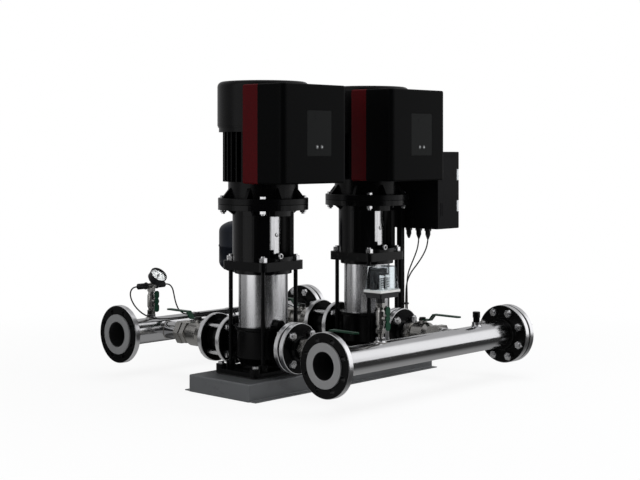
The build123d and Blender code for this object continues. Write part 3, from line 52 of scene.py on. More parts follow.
# %% Camera
lens_length, sensor_width, upward_shift = 73.1, 36, -0.1434
eye, heading = (-3.292, -3.083, 0.798), -47
camera_data = bpy.data.cameras.new("product_camera")
camera_data.lens, camera_data.sensor_width = lens_length, sensor_width
camera_data.shift_y = upward_shift
camera_data.clip_end = 60
camera = bpy.data.objects.new("product_camera", camera_data)
camera.location = eye
camera.rotation_euler = (radians(90), 0, radians(heading))
scene.collection.objects.link(camera)
scene.camera = camera
scene.view_settings.view_transform = "Standard"
print("camera lens", lens_length, "mm")

# %% [markdown]
# ## Places on the real set
# Finishes and added pieces have to sit on the solid they belong to. So the set's main axes are
# written once, in millimetres, and every later cell works from them.

# %% Main axes
pump_x = (-262.5, 262.5)
suction_y, discharge_y, port_z = -455, 520, 150
header_radius = 44.45
suction_stem_y, discharge_stem_y = -257, 322
vent_x, vent_z = -30, 447
print("pumps at x", pump_x, "headers at y", suction_y, discharge_y)


def metres(*place):
    """A place in millimetres as the metres that Blender uses."""
    return tuple(value / 1000 for value in place)


# %% [markdown]
# ## Small helpers
# Node trees are easier to read when each node is one line, so one helper makes a node, sets its
# fields and links its inputs. Others make common nodes and hand on their result. The last starts a
# node group, with each socket given by a value or a kind.

# %% Node helpers
def node(tree, kind, inputs=None, **fields):
    """One node with its fields set and its inputs linked or filled."""
    made = tree.nodes.new(kind)
    for field, value in fields.items():
        setattr(made, field, value)
    for key, value in (inputs or {}).items():
        if isinstance(value, bpy.types.NodeSocket):
            tree.links.new(value, made.inputs[key])
        else:
            made.inputs[key].default_value = value
    return made


def maths(tree, operation, *values):
    """The result of one calculation with numbers."""
    return node(tree, "ShaderNodeMath", dict(enumerate(values)), operation=operation).outputs[0]


def vectors(tree, operation, *values):
    """The result of one calculation with vectors."""
    made = node(tree, "ShaderNodeVectorMath", dict(enumerate(values)), operation=operation)
    return made.outputs["Value" if operation in ("LENGTH", "DOT_PRODUCT") else "Vector"]


def remap(tree, value, start, stop, low=0.0, high=1.0):
    """A value carried from one range to another and held between its ends."""
    ranges = {"Value": value, "From Min": start, "From Max": stop, "To Min": low, "To Max": high}
    return node(tree, "ShaderNodeMapRange", ranges).outputs[0]


def blended(tree, mask, first, second, kind="RGBA"):
    """Two colours or two numbers mixed by a mask."""
    ends = {"Factor": mask, "A": first, "B": second}
    return node(tree, "ShaderNodeMix", ends, data_type=kind).outputs["Result"]


def either(tree, mask, first, second):
    """Two shaders mixed by a mask."""
    return node(tree, "ShaderNodeMixShader", {0: mask, 1: first.outputs[0], 2: second.outputs[0]})


def group_of(kind, name, inputs, outputs):
    """A node group, the sockets that it is given and the sockets of its result."""
    kinds = {float: "Float", int: "Int", tuple: "Vector"}
    group = bpy.data.node_groups.new(name, kind)
    for label, value in inputs.items():
        held = value if isinstance(value, str) else kinds[type(value)]
        socket = group.interface.new_socket(label, in_out="INPUT", socket_type="NodeSocket" + held)
        if held is not value:
            socket.default_value = value
    for label, held in outputs.items():
        group.interface.new_socket(label, in_out="OUTPUT", socket_type="NodeSocket" + held)
    return group, group.nodes.new("NodeGroupInput").outputs, group.nodes.new("NodeGroupOutput").inputs


# %% [markdown]
# ## Edges that catch light
# No real edge is perfectly sharp: cast, machined and moulded corners all catch a thin line of light.
# The Bevel node finds edges while rendering, so it rounds the shading without one more face. Where
# its normal leaves the true normal there is an edge, and that difference is a mask for wear and for a painted
# highlight.

# %% Group: soft edge
soft_edge, given, result = group_of(
    "ShaderNodeTree", "soft edge", {"Radius": 0.0006}, {"Normal": "Vector", "Edge": "Float"})
bevelled = node(soft_edge, "ShaderNodeBevel", {"Radius": given["Radius"]}, samples=4).outputs[0]
true_normal = node(soft_edge, "ShaderNodeNewGeometry").outputs["Normal"]
agreement = vectors(soft_edge, "DOT_PRODUCT", bevelled, true_normal)
soft_edge.links.new(bevelled, result["Normal"])
soft_edge.links.new(remap(soft_edge, agreement, 0.995, 0.85), result["Edge"])

# %% [markdown]
# ## Surface grain
# Three surfaces cover the set. Drawn and brushed steel has fine lines one way. Cast iron under
# paint is lumpy. Moulded plastic has a fine even pebble. One noise group makes all three, because
# stretching its space turns pebbles into lines.

# %% Group: grain
grain, given, result = group_of(
    "ShaderNodeTree", "surface grain",
    {"Stretch": (1, 1, 1), "Scale": 200.0, "Detail": 3.0, "Low": 0.2, "High": 0.3},
    {"Height": "Float", "Roughness": "Float", "Cloud": "Float"})
place = node(grain, "ShaderNodeTexCoord").outputs["Object"]
stretched = vectors(grain, "MULTIPLY", place, given["Stretch"])
lines = {"Vector": stretched, "Scale": given["Scale"], "Detail": given["Detail"]}
fine = node(grain, "ShaderNodeTexNoise", lines).outputs[0]
broad = node(grain, "ShaderNodeTexNoise", {"Vector": place, "Scale": 9.0, "Detail": 3.0}).outputs[0]
half = maths(grain, "MULTIPLY", maths(grain, "ADD", fine, broad), 0.5)
grain.links.new(fine, result["Height"])
grain.links.new(remap(grain, half, 0.35, 0.65, given["Low"], given["High"]), result["Roughness"])
grain.links.new(broad, result["Cloud"])

# %% [markdown]
# ## Finishes
# Each finish is one Principled shader. The groups feed it what changes over the surface: colour,
# roughness and normal. What is the same everywhere, such as metallic or specular level, is set on
# the shader itself, so that it survives an export.

# %% Finish builder
# The edge colour is partly real wear and partly a painted highlight; this sets how much of it shows.
bump_depth, edge_wear_and_highlight = 0.0002, 0.6


def blank(name):
    """A new material, its node tree and the inputs of its shader."""
    material = bpy.data.materials.new(name)
    material.use_nodes = True
    return material, material.node_tree, material.node_tree.nodes["Principled BSDF"].inputs


def grey(tone):
    """A colour, which may be given as one number when it is grey."""
    return tone if isinstance(tone, tuple) else (tone, tone, tone)


def finish(name, color, worn_and_lit_edge, roughness, metallic=0.0, specular=0.5, stretch=(1, 1, 1), scale=200.0, bump=0.1,
           radius=0.0006, cloud=0.25):
    """A material from a base colour, an edge colour for wear and painted highlight, and a roughness range."""
    material, tree, shader = blank(name)
    edges = node(tree, "ShaderNodeGroup", {"Radius": radius}, node_tree=soft_edge).outputs
    low, high = roughness
    settings = {"Stretch": stretch, "Scale": scale, "Low": low, "High": high}
    texture = node(tree, "ShaderNodeGroup", settings, node_tree=grain).outputs
    dark = (*[channel * (1 - cloud) for channel in grey(color)], 1)
    light = (*[min(1, channel * (1 + cloud)) for channel in grey(color)], 1)
    toned = blended(tree, texture["Cloud"], dark, light)
    # Every edge is painted lighter: partly real wear, partly a painted highlight.
    rubbed_and_lit = blended(tree, maths(tree, "MULTIPLY", edges["Edge"], edge_wear_and_highlight), toned, (*grey(worn_and_lit_edge), 1))
    relief = node(tree, "ShaderNodeBump", {"Strength": bump, "Distance": bump_depth,
                                           "Height": texture["Height"], "Normal": edges["Normal"]})
    tree.links.new(rubbed_and_lit, shader["Base Color"])
    tree.links.new(texture["Roughness"], shader["Roughness"])
    tree.links.new(relief.outputs[0], shader["Normal"])
    shader["Metallic"].default_value = metallic
    shader["Specular IOR Level"].default_value = specular
    return material


# %% [markdown]
# ## The metals
# The headers are drawn stainless tube, so their lines run along X. The pump sleeves and coupling
# guards are brushed along Z. Bolts are zinc plated, and the small fittings are nickel on brass,
# which is slightly warm.

# %% Metal finishes
steel, bright = (0.66, 0.66, 0.67), 0.92
header_steel = finish("header_steel", steel, bright, (0.12, 0.22), 1, stretch=(0.02, 1, 1), scale=900,
                      bump=0.05, cloud=0.06)
sleeve_steel = finish("sleeve_steel", steel, bright, (0.18, 0.30), 1, stretch=(1, 1, 0.02), scale=900,
                      bump=0.06, cloud=0.06)
flange_black = finish("flange_black", 0.002, 0.08, (0.22, 0.34), specular=0.12, scale=700, bump=0.12,
                      radius=0.0012, cloud=0.12)
zinc = finish("zinc_plate", (0.80, 0.80, 0.81), bright, (0.20, 0.34), 1, scale=400, bump=0.08, cloud=0.15)
bright_zinc = finish("bright_zinc", 0.9, bright, (0.25, 0.4), 0.6, scale=400, bump=0.05, cloud=0.05)
nickel = finish("nickel_plate", (0.47, 0.46, 0.44), (0.75, 0.73, 0.70), (0.20, 0.34), 1, scale=350,
                bump=0.10, cloud=0.12)
print("metals", len(bpy.data.materials))

# %% [markdown]
# ## The paints
# The pumps have a black dip coat over cast iron, which shows the casting's skin. The base plate is
# folded from sheet with a pale grey coat. The drive's back half is a deep red.

# %% Paint finishes
iron = (0.0016, 0.0016, 0.0018)
black_iron = finish("black_iron", iron, 0.012, (0.16, 0.25), specular=0.15, scale=260, bump=0.12, radius=0.0012)
motor_black = finish("motor_black", iron, 0.012, (0.22, 0.32), specular=0.12, scale=320, bump=0.1, radius=0.001)
base_paint = finish("base_paint", (0.14, 0.145, 0.15), (0.5, 0.5, 0.51), (0.25, 0.38), 0.5, scale=500,
                    bump=0.08, radius=0.0015, cloud=0.06)
red_paint = finish("red_paint", (0.052, 0.0004, 0.0016), (0.10, 0.005, 0.007), (0.3, 0.42), specular=0.08,
                   scale=600, bump=0.06, radius=0.001, cloud=0.1)
cabinet_paint = finish("cabinet_paint", (0.004, 0.004, 0.0045), 0.03, (0.4, 0.55), specular=0.06,
                       scale=700, bump=0.3, radius=0.001)
tank_paint = finish("tank_paint", (0.007, 0.009, 0.014), (0.03, 0.035, 0.04), (0.3, 0.42), specular=0.12,
                    scale=500, bump=0.08, radius=0.001, cloud=0.15)
green_handle = finish("green_handle", (0.0015, 0.035, 0.016), (0.006, 0.08, 0.035), (0.3, 0.45),
                      specular=0.25, scale=500, bump=0.1, radius=0.0008)
green_coat = finish("green_coat", (0.0013, 0.026, 0.012), (0.006, 0.09, 0.04), (0.3, 0.45), specular=0.3,
                    scale=500, bump=0.1, radius=0.0008)
print("metals and paints", len(bpy.data.materials))

# %% [markdown]
# ## Plastics and rubber
# The drive cover is a smooth black moulding. Its keypad is a matte foil. The switch stands on a
# white moulded base, and the cables have a dull jacket.

# %% Plastic finishes
drive_black = finish("drive_black", (0.0016, 0.0017, 0.0018), 0.012, (0.3, 0.4), specular=0.03, scale=900,
                     bump=0.12, radius=0.0015, cloud=0.1)
keypad_foil = finish("keypad_foil", (0.0045, 0.005, 0.005), 0.02, (0.42, 0.5), specular=0.08, scale=900, bump=0.06)
key_grey = finish("key_grey", (0.05, 0.052, 0.052), 0.12, (0.35, 0.45), scale=900, bump=0.05)
black_plastic = finish("black_plastic", (0.008, 0.008, 0.009), 0.04, (0.35, 0.5), specular=0.3, scale=700,
                       bump=0.15)
white_plastic = finish("white_plastic", (0.70, 0.70, 0.68), (0.85, 0.85, 0.84), (0.32, 0.45), scale=700,
                       bump=0.06, cloud=0.04)
latch_grey = finish("latch_grey", (0.58, 0.60, 0.61), 0.75, (0.35, 0.5), scale=700, bump=0.08, cloud=0.05)
rubber = finish("rubber", 0.012, 0.03, (0.6, 0.75), specular=0.3, scale=400, bump=0.3, cloud=0.3)
cable_jacket = finish("cable_jacket", (0.007, 0.007, 0.0075), 0.02, (0.4, 0.5), specular=0.3, scale=600, bump=0.1)
pale_mark = finish("pale_mark", (0.42, 0.44, 0.44), 0.5, (0.4, 0.5), scale=500, bump=0.02)
dial_white = finish("dial_white", (0.72, 0.73, 0.73), 0.8, (0.4, 0.5), scale=500, bump=0.02, cloud=0.03)
dial_black = finish("dial_black", 0.006, 0.01, (0.4, 0.5), scale=500, bump=0.02)


# %% [markdown]
# ## Clear plastics
# The switch's hood and the gauge's glass are thin clear walls. Their refraction is set close to that
# of air, so that what stands behind a thin wall isn't shifted, as it isn't in reality.

# %% Clear plastics
def clear(name, color, roughness):
    """A clear material: light passes straight through a thin wall."""
    material, tree, shader = blank(name)
    settings = {"Scale": 60.0, "Low": roughness[0], "High": roughness[1]}
    texture = node(tree, "ShaderNodeGroup", settings, node_tree=grain).outputs
    tree.links.new(texture["Roughness"], shader["Roughness"])
    shader["Base Color"].default_value = (*color, 1)
    shader["Transmission Weight"].default_value = 1.0
    shader["IOR"].default_value = 1.08
    return material


clear_cover = clear("clear_cover", (0.86, 0.90, 0.92), (0.03, 0.12))
clear_glass = clear("clear_glass", (0.97, 0.98, 0.98), (0.0, 0.04))
print("all finishes", len(bpy.data.materials))

# %% [markdown]
# ## Two finishes on one piece
# A flange is painted black, but its turned rim is bare. A green lever carries a black knob. Cutting
# the mesh would break the CAD node, so a mask does it: the distance from an axis says where the
# second finish starts, and colour, roughness and metallic change together there.

# %% Group: distance from two axes
axis_distance, given, result = group_of(
    "ShaderNodeTree", "axis distance",
    {"First": (0, 0, 0), "Second": (0, 0, 0), "Across": (1, 1, 1)}, {"Distance": "Float"})
place = node(axis_distance, "ShaderNodeTexCoord").outputs["Object"]
lengths = []
for which in ("First", "Second"):
    away = vectors(axis_distance, "SUBTRACT", place, given[which])
    flat = vectors(axis_distance, "MULTIPLY", away, given["Across"])
    lengths.append(vectors(axis_distance, "LENGTH", flat))
axis_distance.links.new(maths(axis_distance, "MINIMUM", *lengths), result["Distance"])


# %% Zone helpers
def around(material, axes, across, radius, soft=0.4, inside=False):
    """A mask of all that lies farther than a radius from two axes, or nearer, in millimetres."""
    tree = material.node_tree
    settings = {"First": metres(*axes[0]), "Second": metres(*axes[-1]), "Across": across}
    distance = node(tree, "ShaderNodeGroup", settings, node_tree=axis_distance).outputs[0]
    ends = (1, 0) if inside else (0, 1)
    return remap(tree, distance, *metres(radius - soft / 2, radius + soft / 2), *ends)


def along(material, axis, low, high):
    """A mask that rises along one coordinate, in millimetres; on Y the sign doesn't count."""
    tree = material.node_tree
    spot = node(tree, "ShaderNodeTexCoord").outputs["Object"]
    value = node(tree, "ShaderNodeSeparateXYZ", {0: spot}).outputs[axis]
    if axis == "Y":
        value = maths(tree, "ABSOLUTE", value)
    return remap(tree, value, *metres(low, high))


def both_masks(material, first, second):
    """A mask where two others overlap."""
    return maths(material.node_tree, "MULTIPLY", first, second)


def zone(material, mask, color, roughness, metallic):
    """Lays a second finish over a material where the mask is 1."""
    tree = material.node_tree
    for key, value in (("Base Color", (*color, 1)), ("Roughness", roughness), ("Metallic", metallic)):
        socket = tree.nodes["Principled BSDF"].inputs[key]
        before = socket.links[0].from_socket if socket.links else socket.default_value
        kind = "RGBA" if isinstance(value, tuple) else "FLOAT"
        tree.links.new(blended(tree, mask, before, value, kind), socket)


def copy_of(material, name):
    """The same finish under its own name, so that a zone touches one piece alone."""
    made = material.copy()
    made.name = name
    return made


# %% [markdown]
# ## Where the second finish goes
# The header's inside is dark, its loose flanges have bare rims, and so have the branch and port
# flanges. The rods are black up to their bright nuts. Each lever has a black knob over its stem.

# %% Zones
bare, knob, shadow = (0.85, 0.85, 0.86), (0.006, 0.006, 0.006), (0.01, 0.01, 0.01)
along_x, along_y, along_z = (0, 1, 1), (1, 0, 1), (1, 1, 0)
headers = ((0, suction_y, port_z), (0, discharge_y, port_z))
branches = [(x, 0, port_z) for x in pump_x]
header_bore, collar_foot, header_rim, branch_rim = 43.2, 44.65, 98.4, 80.4
near_collar = (-454.5, -454.9)
zone(header_steel, around(header_steel, headers, along_x, header_bore, inside=True), shadow, 0.5, 0.0)
collar = both_masks(header_steel, around(header_steel, headers, along_x, collar_foot, soft=0.3),
                    along(header_steel, "X", *near_collar))
zone(header_steel, collar, (0.30, 0.30, 0.30), 0.5, 0.5)
zone(flange_black, around(flange_black, headers, along_x, header_rim), bare, 0.28, 1.0)
branch_iron = copy_of(black_iron, "branch_iron")
zone(branch_iron, around(branch_iron, branches, along_y, branch_rim), bare, 0.28, 1.0)
casting_iron = copy_of(black_iron, "casting_iron")
port_rim = both_masks(casting_iron, around(casting_iron, branches, along_y, branch_rim),
                      along(casting_iron, "Y", 127.5, 128.5))
zone(casting_iron, port_rim, bare, 0.28, 1.0)
rod_steel = copy_of(black_iron, "rod_steel")
zone(rod_steel, along(rod_steel, "Z", 426.5, 426.8), bare, 0.25, 1.0)
check_iron = copy_of(black_iron, "check_iron")
post_black = copy_of(cabinet_paint, "post_black")
switch_white = copy_of(white_plastic, "switch_white")
switch_low, switch_foot_reach = (0, 0, 300), 50
switch_foot = around(switch_white, [switch_low], (0, 0, 1), switch_foot_reach, inside=True)
zone(switch_white, switch_foot, (0.008, 0.008, 0.009), 0.45, 0.0)
knob_reach = 14.6
suction_green, discharge_green = copy_of(green_coat, "suction_green"), copy_of(green_coat, "discharge_green")
for green, stem_y in ((suction_green, suction_stem_y), (discharge_green, discharge_stem_y)):
    stems = [(x, stem_y, 0) for x in pump_x]
    zone(green, around(green, stems, along_z, knob_reach, soft=0.8, inside=True), knob, 0.4, 0.0)
plug_black = copy_of(black_iron, "plug_black")
vent_ends = [(x + vent_x, 0, vent_z) for x in pump_x]
ring = both_masks(plug_black, around(plug_black, vent_ends, along_y, 10.6, inside=True),
                  around(plug_black, vent_ends, along_y, 6))
front_end = both_masks(plug_black, ring, along(plug_black, "Y", 107.0, 107.4))
zone(plug_black, front_end, bare, 0.3, 1.0)
print("finishes with their zones", len(bpy.data.materials))

# %% [markdown]
# ## Dressing the CAD nodes
# The frame's own meshes stay as they are and only change their material. One table says which
# nodes wear which finish, where # stands for 1 and 2, and the cell stops at a forgotten node.

# %% Finishes of the CAD nodes
dressing = (
    (base_paint, "base_plate"), (rubber, "gaskets"), (rod_steel, "tie_rods"), (plug_black, "plugs"),
    (zinc, "pump_bolts flange_bolts pressure_switch_works pump_#_shaft"), (keypad_foil, "keypads"),
    (sleeve_steel, "pump_chambers coupling_guards"), (black_iron, "pump_heads motor_stools"),
    (casting_iron, "pump_#_casting"), (motor_black, "pump_#_motor pump_#_fan_cover"),
    (black_plastic, "pump_#_fan pressure_sensors gauge_case cable_fittings"),
    (red_paint, "pump_#_drive_housing"), (drive_black, "pump_#_drive_cover"),
    (key_grey, "pump_#_down_key pump_#_up_key"), (header_steel, "suction_manifold discharge_manifold"),
    (flange_black, "manifold_flanges"), (branch_iron, "counter_flanges"), (check_iron, "check_valve_bodies"),
    (nickel, "valve_bodies small_valves check_valve_#_disc"),
    (green_handle, "gauge_valve_handle switch_valve_handle"),
    (suction_green, "suction_valve_#_lever"), (discharge_green, "discharge_valve_#_lever"),
    (clear_glass, "gauge_glass"), (dial_black, "gauge_needle"), (switch_white, "pressure_switch_base"),
    (clear_cover, "pressure_switch_cover"), (tank_paint, "tank"), (cabinet_paint, "cabinet_box cabinet_door"),
    (latch_grey, "cabinet_upper_latch cabinet_lower_latch"), (post_black, "cabinet_post"),
    (cable_jacket, "sensor_cable_#"))
finish_of = {name.replace("#", number): coat
             for coat, names in dressing for name in names.split() for number in "12"}
for name, shown in nodes.items():
    shown.data.materials.clear()
    shown.data.materials.append(finish_of[name])
print("dressed nodes", len(finish_of))

# %% [markdown]
# ## The room
# Steel looks like steel because of what it mirrors. A product studio sets white and black screens
# round the piece, so the world here is a ramp round the vertical axis with bright and dark screens,
# which only glossy rays see. Camera rays and rays through clear plastic see plain white.

# %% World
right, backwards = (0.682, -0.731, 0), (-0.731, -0.682, 0)
shades = ((-180, 0.36), (-110, 0.34), (-80, 0.30), (-76, 1.0), (-38, 1.0), (-34, 0.02), (46, 0.015), (53, 0.9),
          (68, 0.95), (70, 0.45), (73, 0.45), (75, 1.0), (90, 1.0), (92, 0.5), (94, 0.5), (96, 1.0),
          (120, 0.95), (128, 0.42), (180, 0.36))
ceiling_low, ceiling_high, ceiling_color, white = 0.72, 0.86, (0.42, 0.42, 0.43, 1), (1, 1, 1, 1)
world = bpy.data.worlds.new("studio")
scene.world = world
world.use_nodes = True
sky = world.node_tree
sky.nodes.clear()
direction = node(sky, "ShaderNodeTexCoord").outputs["Generated"]
sideways, towards = [vectors(sky, "DOT_PRODUCT", direction, axis) for axis in (right, backwards)]
round_room = remap(sky, maths(sky, "ARCTAN2", sideways, towards), -pi, pi)
screens = node(sky, "ShaderNodeValToRGB", {"Fac": round_room})
ramp = screens.color_ramp
for angle, level in shades[1:-1]:
    ramp.elements.new((angle + 180) / 360)
for element, (angle, level) in zip(ramp.elements, shades):
    element.color = (level, level, level * 1.01, 1)
height = node(sky, "ShaderNodeSeparateXYZ", {0: direction}).outputs["Z"]
ceiling = remap(sky, height, ceiling_low, ceiling_high)
room = blended(sky, ceiling, screens.outputs["Color"], ceiling_color)
path = node(sky, "ShaderNodeLightPath").outputs
straight = maths(sky, "MAXIMUM", path["Is Camera Ray"], path["Is Transmission Ray"])
ambient = node(sky, "ShaderNodeBackground", {"Color": (0.75, 0.77, 0.80, 1), "Strength": 0.45})
mirror_world = node(sky, "ShaderNodeBackground", {"Color": room, "Strength": 1.2})
white_world = node(sky, "ShaderNodeBackground", {"Color": white, "Strength": 1.0})
glossy_mix = either(sky, path["Is Glossy Ray"], ambient, mirror_world)
camera_mix = either(sky, straight, glossy_mix, white_world)
node(sky, "ShaderNodeOutputWorld", {"Surface": camera_mix.outputs[0]})
print("points on the ramp", len(shades))

# %% [markdown]
# ## The floor
# A pale round floor keeps the set's shadow and fades to white at its rim. In a mirror it shows a
# grey lane under the set and dark beyond, which draws the dark lower edge of each header.

# %% Floor
floor_radius, floor_level, floor_sides = 2.6, -0.0005, 96
fade_start, fade_end, least_white = 0.7, 2.2, 0.88
lane_edge, lane_end, lane_light, dark_beyond = 0.50, 0.62, 0.3, 0.04
floor_angles = [2 * pi * step / floor_sides for step in range(floor_sides)]
rim = [(floor_radius * cos(angle), floor_radius * sin(angle), floor_level) for angle in floor_angles]
floor_mesh = bpy.data.meshes.new("floor")
floor_mesh.from_pydata(rim, [], [list(range(floor_sides))])
floor = bpy.data.objects.new("floor", floor_mesh)
scene.collection.objects.link(floor)
floor_paint, tree, _ = blank("floor_paint")
tree.nodes.clear()
path = node(tree, "ShaderNodeLightPath").outputs
spot = node(tree, "ShaderNodeTexCoord").outputs["Object"]
fade = remap(tree, vectors(tree, "LENGTH", spot), fade_start, fade_end, least_white, 1.0)
off_middle = maths(tree, "ABSOLUTE", node(tree, "ShaderNodeSeparateXYZ", {0: spot}).outputs["Y"])
lane = remap(tree, off_middle, lane_edge, lane_end, lane_light, dark_beyond)
seen = maths(tree, "MAXIMUM", path["Is Camera Ray"], path["Is Transmission Ray"])
matte = node(tree, "ShaderNodeBsdfDiffuse", {"Color": (0.85, 0.85, 0.85, 1)})
glow = node(tree, "ShaderNodeEmission", {"Color": white, "Strength": 1.0})
mirror_lane = node(tree, "ShaderNodeEmission", {"Color": white, "Strength": lane})
shown_floor = either(tree, maths(tree, "MULTIPLY", seen, fade), matte, glow)
both = either(tree, path["Is Glossy Ray"], shown_floor, mirror_lane)
node(tree, "ShaderNodeOutputMaterial", {"Surface": both.outputs[0]})
floor_mesh.materials.append(floor_paint)
print("floor radius", floor_radius, "m")

# %% [markdown]
# ## Lamps
# Three large soft lamps light the paint evenly. They are left out of mirrors, because the screens
# of the world already draw the reflections there.

# %% Lamps
def lamp(name, place, target, size, power):
    """A soft rectangular lamp that looks at a point."""
    data = bpy.data.lights.new(name, "AREA")
    data.shape = "RECTANGLE"
    data.size, data.size_y = size
    data.energy = power
    lit = bpy.data.objects.new(name, data)
    lit.location = place
    lit.rotation_euler = (Vector(target) - Vector(place)).to_track_quat("-Z", "Y").to_euler()
    lit.visible_glossy = False
    scene.collection.objects.link(lit)


lamp("overhead", (0.2, -0.4, 3.2), (0, 0, 0.3), (2.4, 2.4), 60)
lamp("front_right", (1.2, -3.4, 1.6), (0, 0, 0.4), (1.2, 2.0), 45)
lamp("front_left", (-3.6, -0.6, 1.8), (0, 0, 0.4), (1.0, 2.0), 25)
print("lamps", len(bpy.data.lights))

# %% [markdown]
# ## Small pieces
# Every added piece is plain geometry at the origin that rides on a body of the frame. One helper
# links it, gives it its finish and tells the frame what it belongs to.

# %% Piece helper
def piece(name, shape, coat, body="set"):
    """Links a mesh or a curve as a piece that rides on a body."""
    shape.materials.clear()
    shape.materials.append(coat)
    made = bpy.data.objects.new(name, shape)
    scene.collection.objects.link(made)
    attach(made, body)
    return made


# %% [markdown]
# ## The sensor cables
# Two thin cables leave the pressure sensors, lie on the discharge header and climb the post to the
# cabinet. A NURBS curve through a few given points bends as softly as a real cable.

# %% Cables
cable_radius = 0.0025


def cable(name, points, replaced):
    """A round cable along a smooth curve through places in millimetres."""
    data = bpy.data.curves.new(name, "CURVE")
    data.dimensions = "3D"
    data.bevel_depth = cable_radius
    data.bevel_resolution = 4
    spline = data.splines.new("NURBS")
    spline.points.add(len(points) - 1)
    for point, place in zip(spline.points, points):
        point.co = (*metres(*place), 1)
    spline.order_u = 3
    spline.use_endpoint_u = True
    spline.resolution_u = 8
    made = piece(name, data, cable_jacket)
    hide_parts(replaced)


cable("left_sensor_cable", (
    (-374, 520, 308.4), (-388, 520, 308.4), (-400.4, 519.5, 302), (-408.4, 517.5, 290), (-409.5, 513.5, 273),
    (-403, 508, 253), (-390, 502, 233), (-369, 496, 214), (-340, 491.5, 199.5), (-305, 489, 191),
    (-265, 489, 188), (-215, 489.3, 187.4), (-140, 489, 187), (-50, 489.4, 187.4), (40, 489, 187),
    (130, 489.4, 187.4), (215, 489, 187), (285, 489.3, 187.2), (328, 486, 185), (354, 472, 176),
    (366, 448, 163), (368, 416, 149), (368, 368, 132), (368, 300, 115), (371, 225, 98), (381, 163, 84),
    (400, 112, 72), (422, 72, 64.5), (435, 32, 62.5), (437, -8, 65), (436, -42, 66.5), (431, -67, 74),
    (421, -78, 92), (414, -74, 120), (411.4, -66, 158), (411, -60.4, 200), (411.2, -60, 255), (413, -62, 303),
    (430, -67, 340), (455, -82, 374), (474, -96, 410), (483.5, -103.5, 440), (485, -105, 463)), "sensor_cable_1")
cable("right_sensor_cable", (
    (-248, 520, 308.4), (-234, 520, 308.4), (-221.6, 519.5, 302), (-213.6, 517.5, 290), (-212.5, 512.5, 273),
    (-213, 506, 252), (-210, 500, 231), (-201, 497, 212), (-182, 496, 199), (-155, 496, 193), (-118, 496, 192),
    (-60, 496.4, 192.3), (30, 496, 192), (120, 496.4, 192.3), (210, 496, 192), (288, 496.3, 192.2),
    (336, 494, 190), (363, 480, 181), (374, 456, 168), (376.3, 422, 154), (376.5, 371, 137), (376.5, 301, 120),
    (379.5, 227, 103), (389, 166, 89), (408, 116, 77), (430, 75, 68.5), (443.5, 33, 64), (445.5, -8, 62),
    (445, -46, 63.5), (439.5, -75, 73), (429, -87, 94), (422, -82, 122), (419.3, -70, 160), (419, -60.4, 202),
    (419.2, -60, 257), (421, -57, 304), (433, -54, 341), (456, -52, 372), (475, -55, 406), (483.5, -60.5, 436),
    (485, -62, 463)), "sensor_cable_2")
print("cable radius", cable_radius, "m")

# %% [markdown]
# ## Shapes from a few rules
# Cast and turned pieces follow two rules. A lathe turns a profile round an axis. A wall runs between
# an outer and an inner outline that are walked side by side, and its foot may rise and fall, which
# makes notches. Both give closed shells, in millimetres, and one function makes them a mesh.

# %% Lathe, wall and prism
def lathe(profile, steps, place):
    """A closed shell turned about Z from (radius, height) points that start and end on the axis."""
    points, rings = [], []
    for radius, level in profile:
        if radius == 0:
            rings.append([len(points)])
            points.append((0, 0, level))
        else:
            rings.append([len(points) + step for step in range(steps)])
            angles = [2 * pi * step / steps for step in range(steps)]
            points += [(radius * cos(angle), radius * sin(angle), level) for angle in angles]
    faces = []
    for low, high in zip(rings, rings[1:]):
        for step in range(steps):
            after = (step + 1) % steps
            around_face = ((low, step), (low, after), (high, after), (high, step))
            corners = [ring[turn % len(ring)] for ring, turn in around_face]
            faces.append(list(dict.fromkeys(corners)))
    return placed(points, place), faces


def placed(points, place):
    """The points moved to their place, if one is given."""
    return [tuple(place @ Vector(point)) for point in points] if place else points


def wall(outer, inner, lows, top, closed=True, shift=0):
    """A wall between two outlines of as many points, from each point's foot up to one level."""
    points, faces = [], []
    for (x, y), (u, v), low in zip(outer, inner, lows):
        points += [(x + shift, y, low), (x + shift, y, top), (u + shift, v, top), (u + shift, v, low)]
    count = len(outer)
    for step in range(count if closed else count - 1):
        a, b = 4 * step, 4 * ((step + 1) % count)
        faces += [[a + k, b + k, b + (k + 1) % 4, a + (k + 1) % 4] for k in range(4)]
    if not closed:
        faces += [[0, 1, 2, 3], [4 * count - 1, 4 * count - 2, 4 * count - 3, 4 * count - 4]]
    return points, faces


def prism(outline, depth, place=None):
    """A flat outline made thick along Z."""
    count = len(outline)
    points = [(x, y, 0) for x, y in outline] + [(x, y, depth) for x, y in outline]
    faces = [list(range(count))[::-1], list(range(count, 2 * count))]
    faces += [[step, (step + 1) % count, count + (step + 1) % count, count + step] for step in range(count)]
    return placed(points, place), faces


def arc(radius, start, end, steps):
    """Points on a circle between two angles in degrees."""
    angles = [radians(start + (end - start) * step / steps) for step in range(steps + 1)]
    return [(radius * cos(angle), radius * sin(angle)) for angle in angles]


def rounded(length, width, corner, steps=6):
    """A rectangle with round corners, counter-clockwise."""
    points = []
    for quarter, (side, end) in enumerate(((1, -1), (1, 1), (-1, 1), (-1, -1))):
        middle = (side * (length / 2 - corner), end * (width / 2 - corner))
        points += [(middle[0] + x, middle[1] + y) for x, y in arc(corner, quarter * 90 - 90, quarter * 90, steps)]
    return points


def shell_mesh(name, shells):
    """One mesh in metres from closed shells in millimetres, its faces pointing outwards."""
    work = bmesh.new()
    for points, faces in shells:
        corners = [work.verts.new(metres(*point)) for point in points]
        for face in faces:
            work.faces.new([corners[index] for index in face])
    bmesh.ops.recalc_face_normals(work, faces=work.faces)
    mesh = bpy.data.meshes.new(name)
    work.to_mesh(mesh)
    work.free()
    return mesh


# %% [markdown]
# ## Motor stools and coupling guards
# The stool is an open casting: two curved pillars on a square foot, with a window front and back.
# Inside stands the bright tube that guards the coupling. The solids have narrower windows with the
# guards outside, so these pieces stand for them, in the same place.

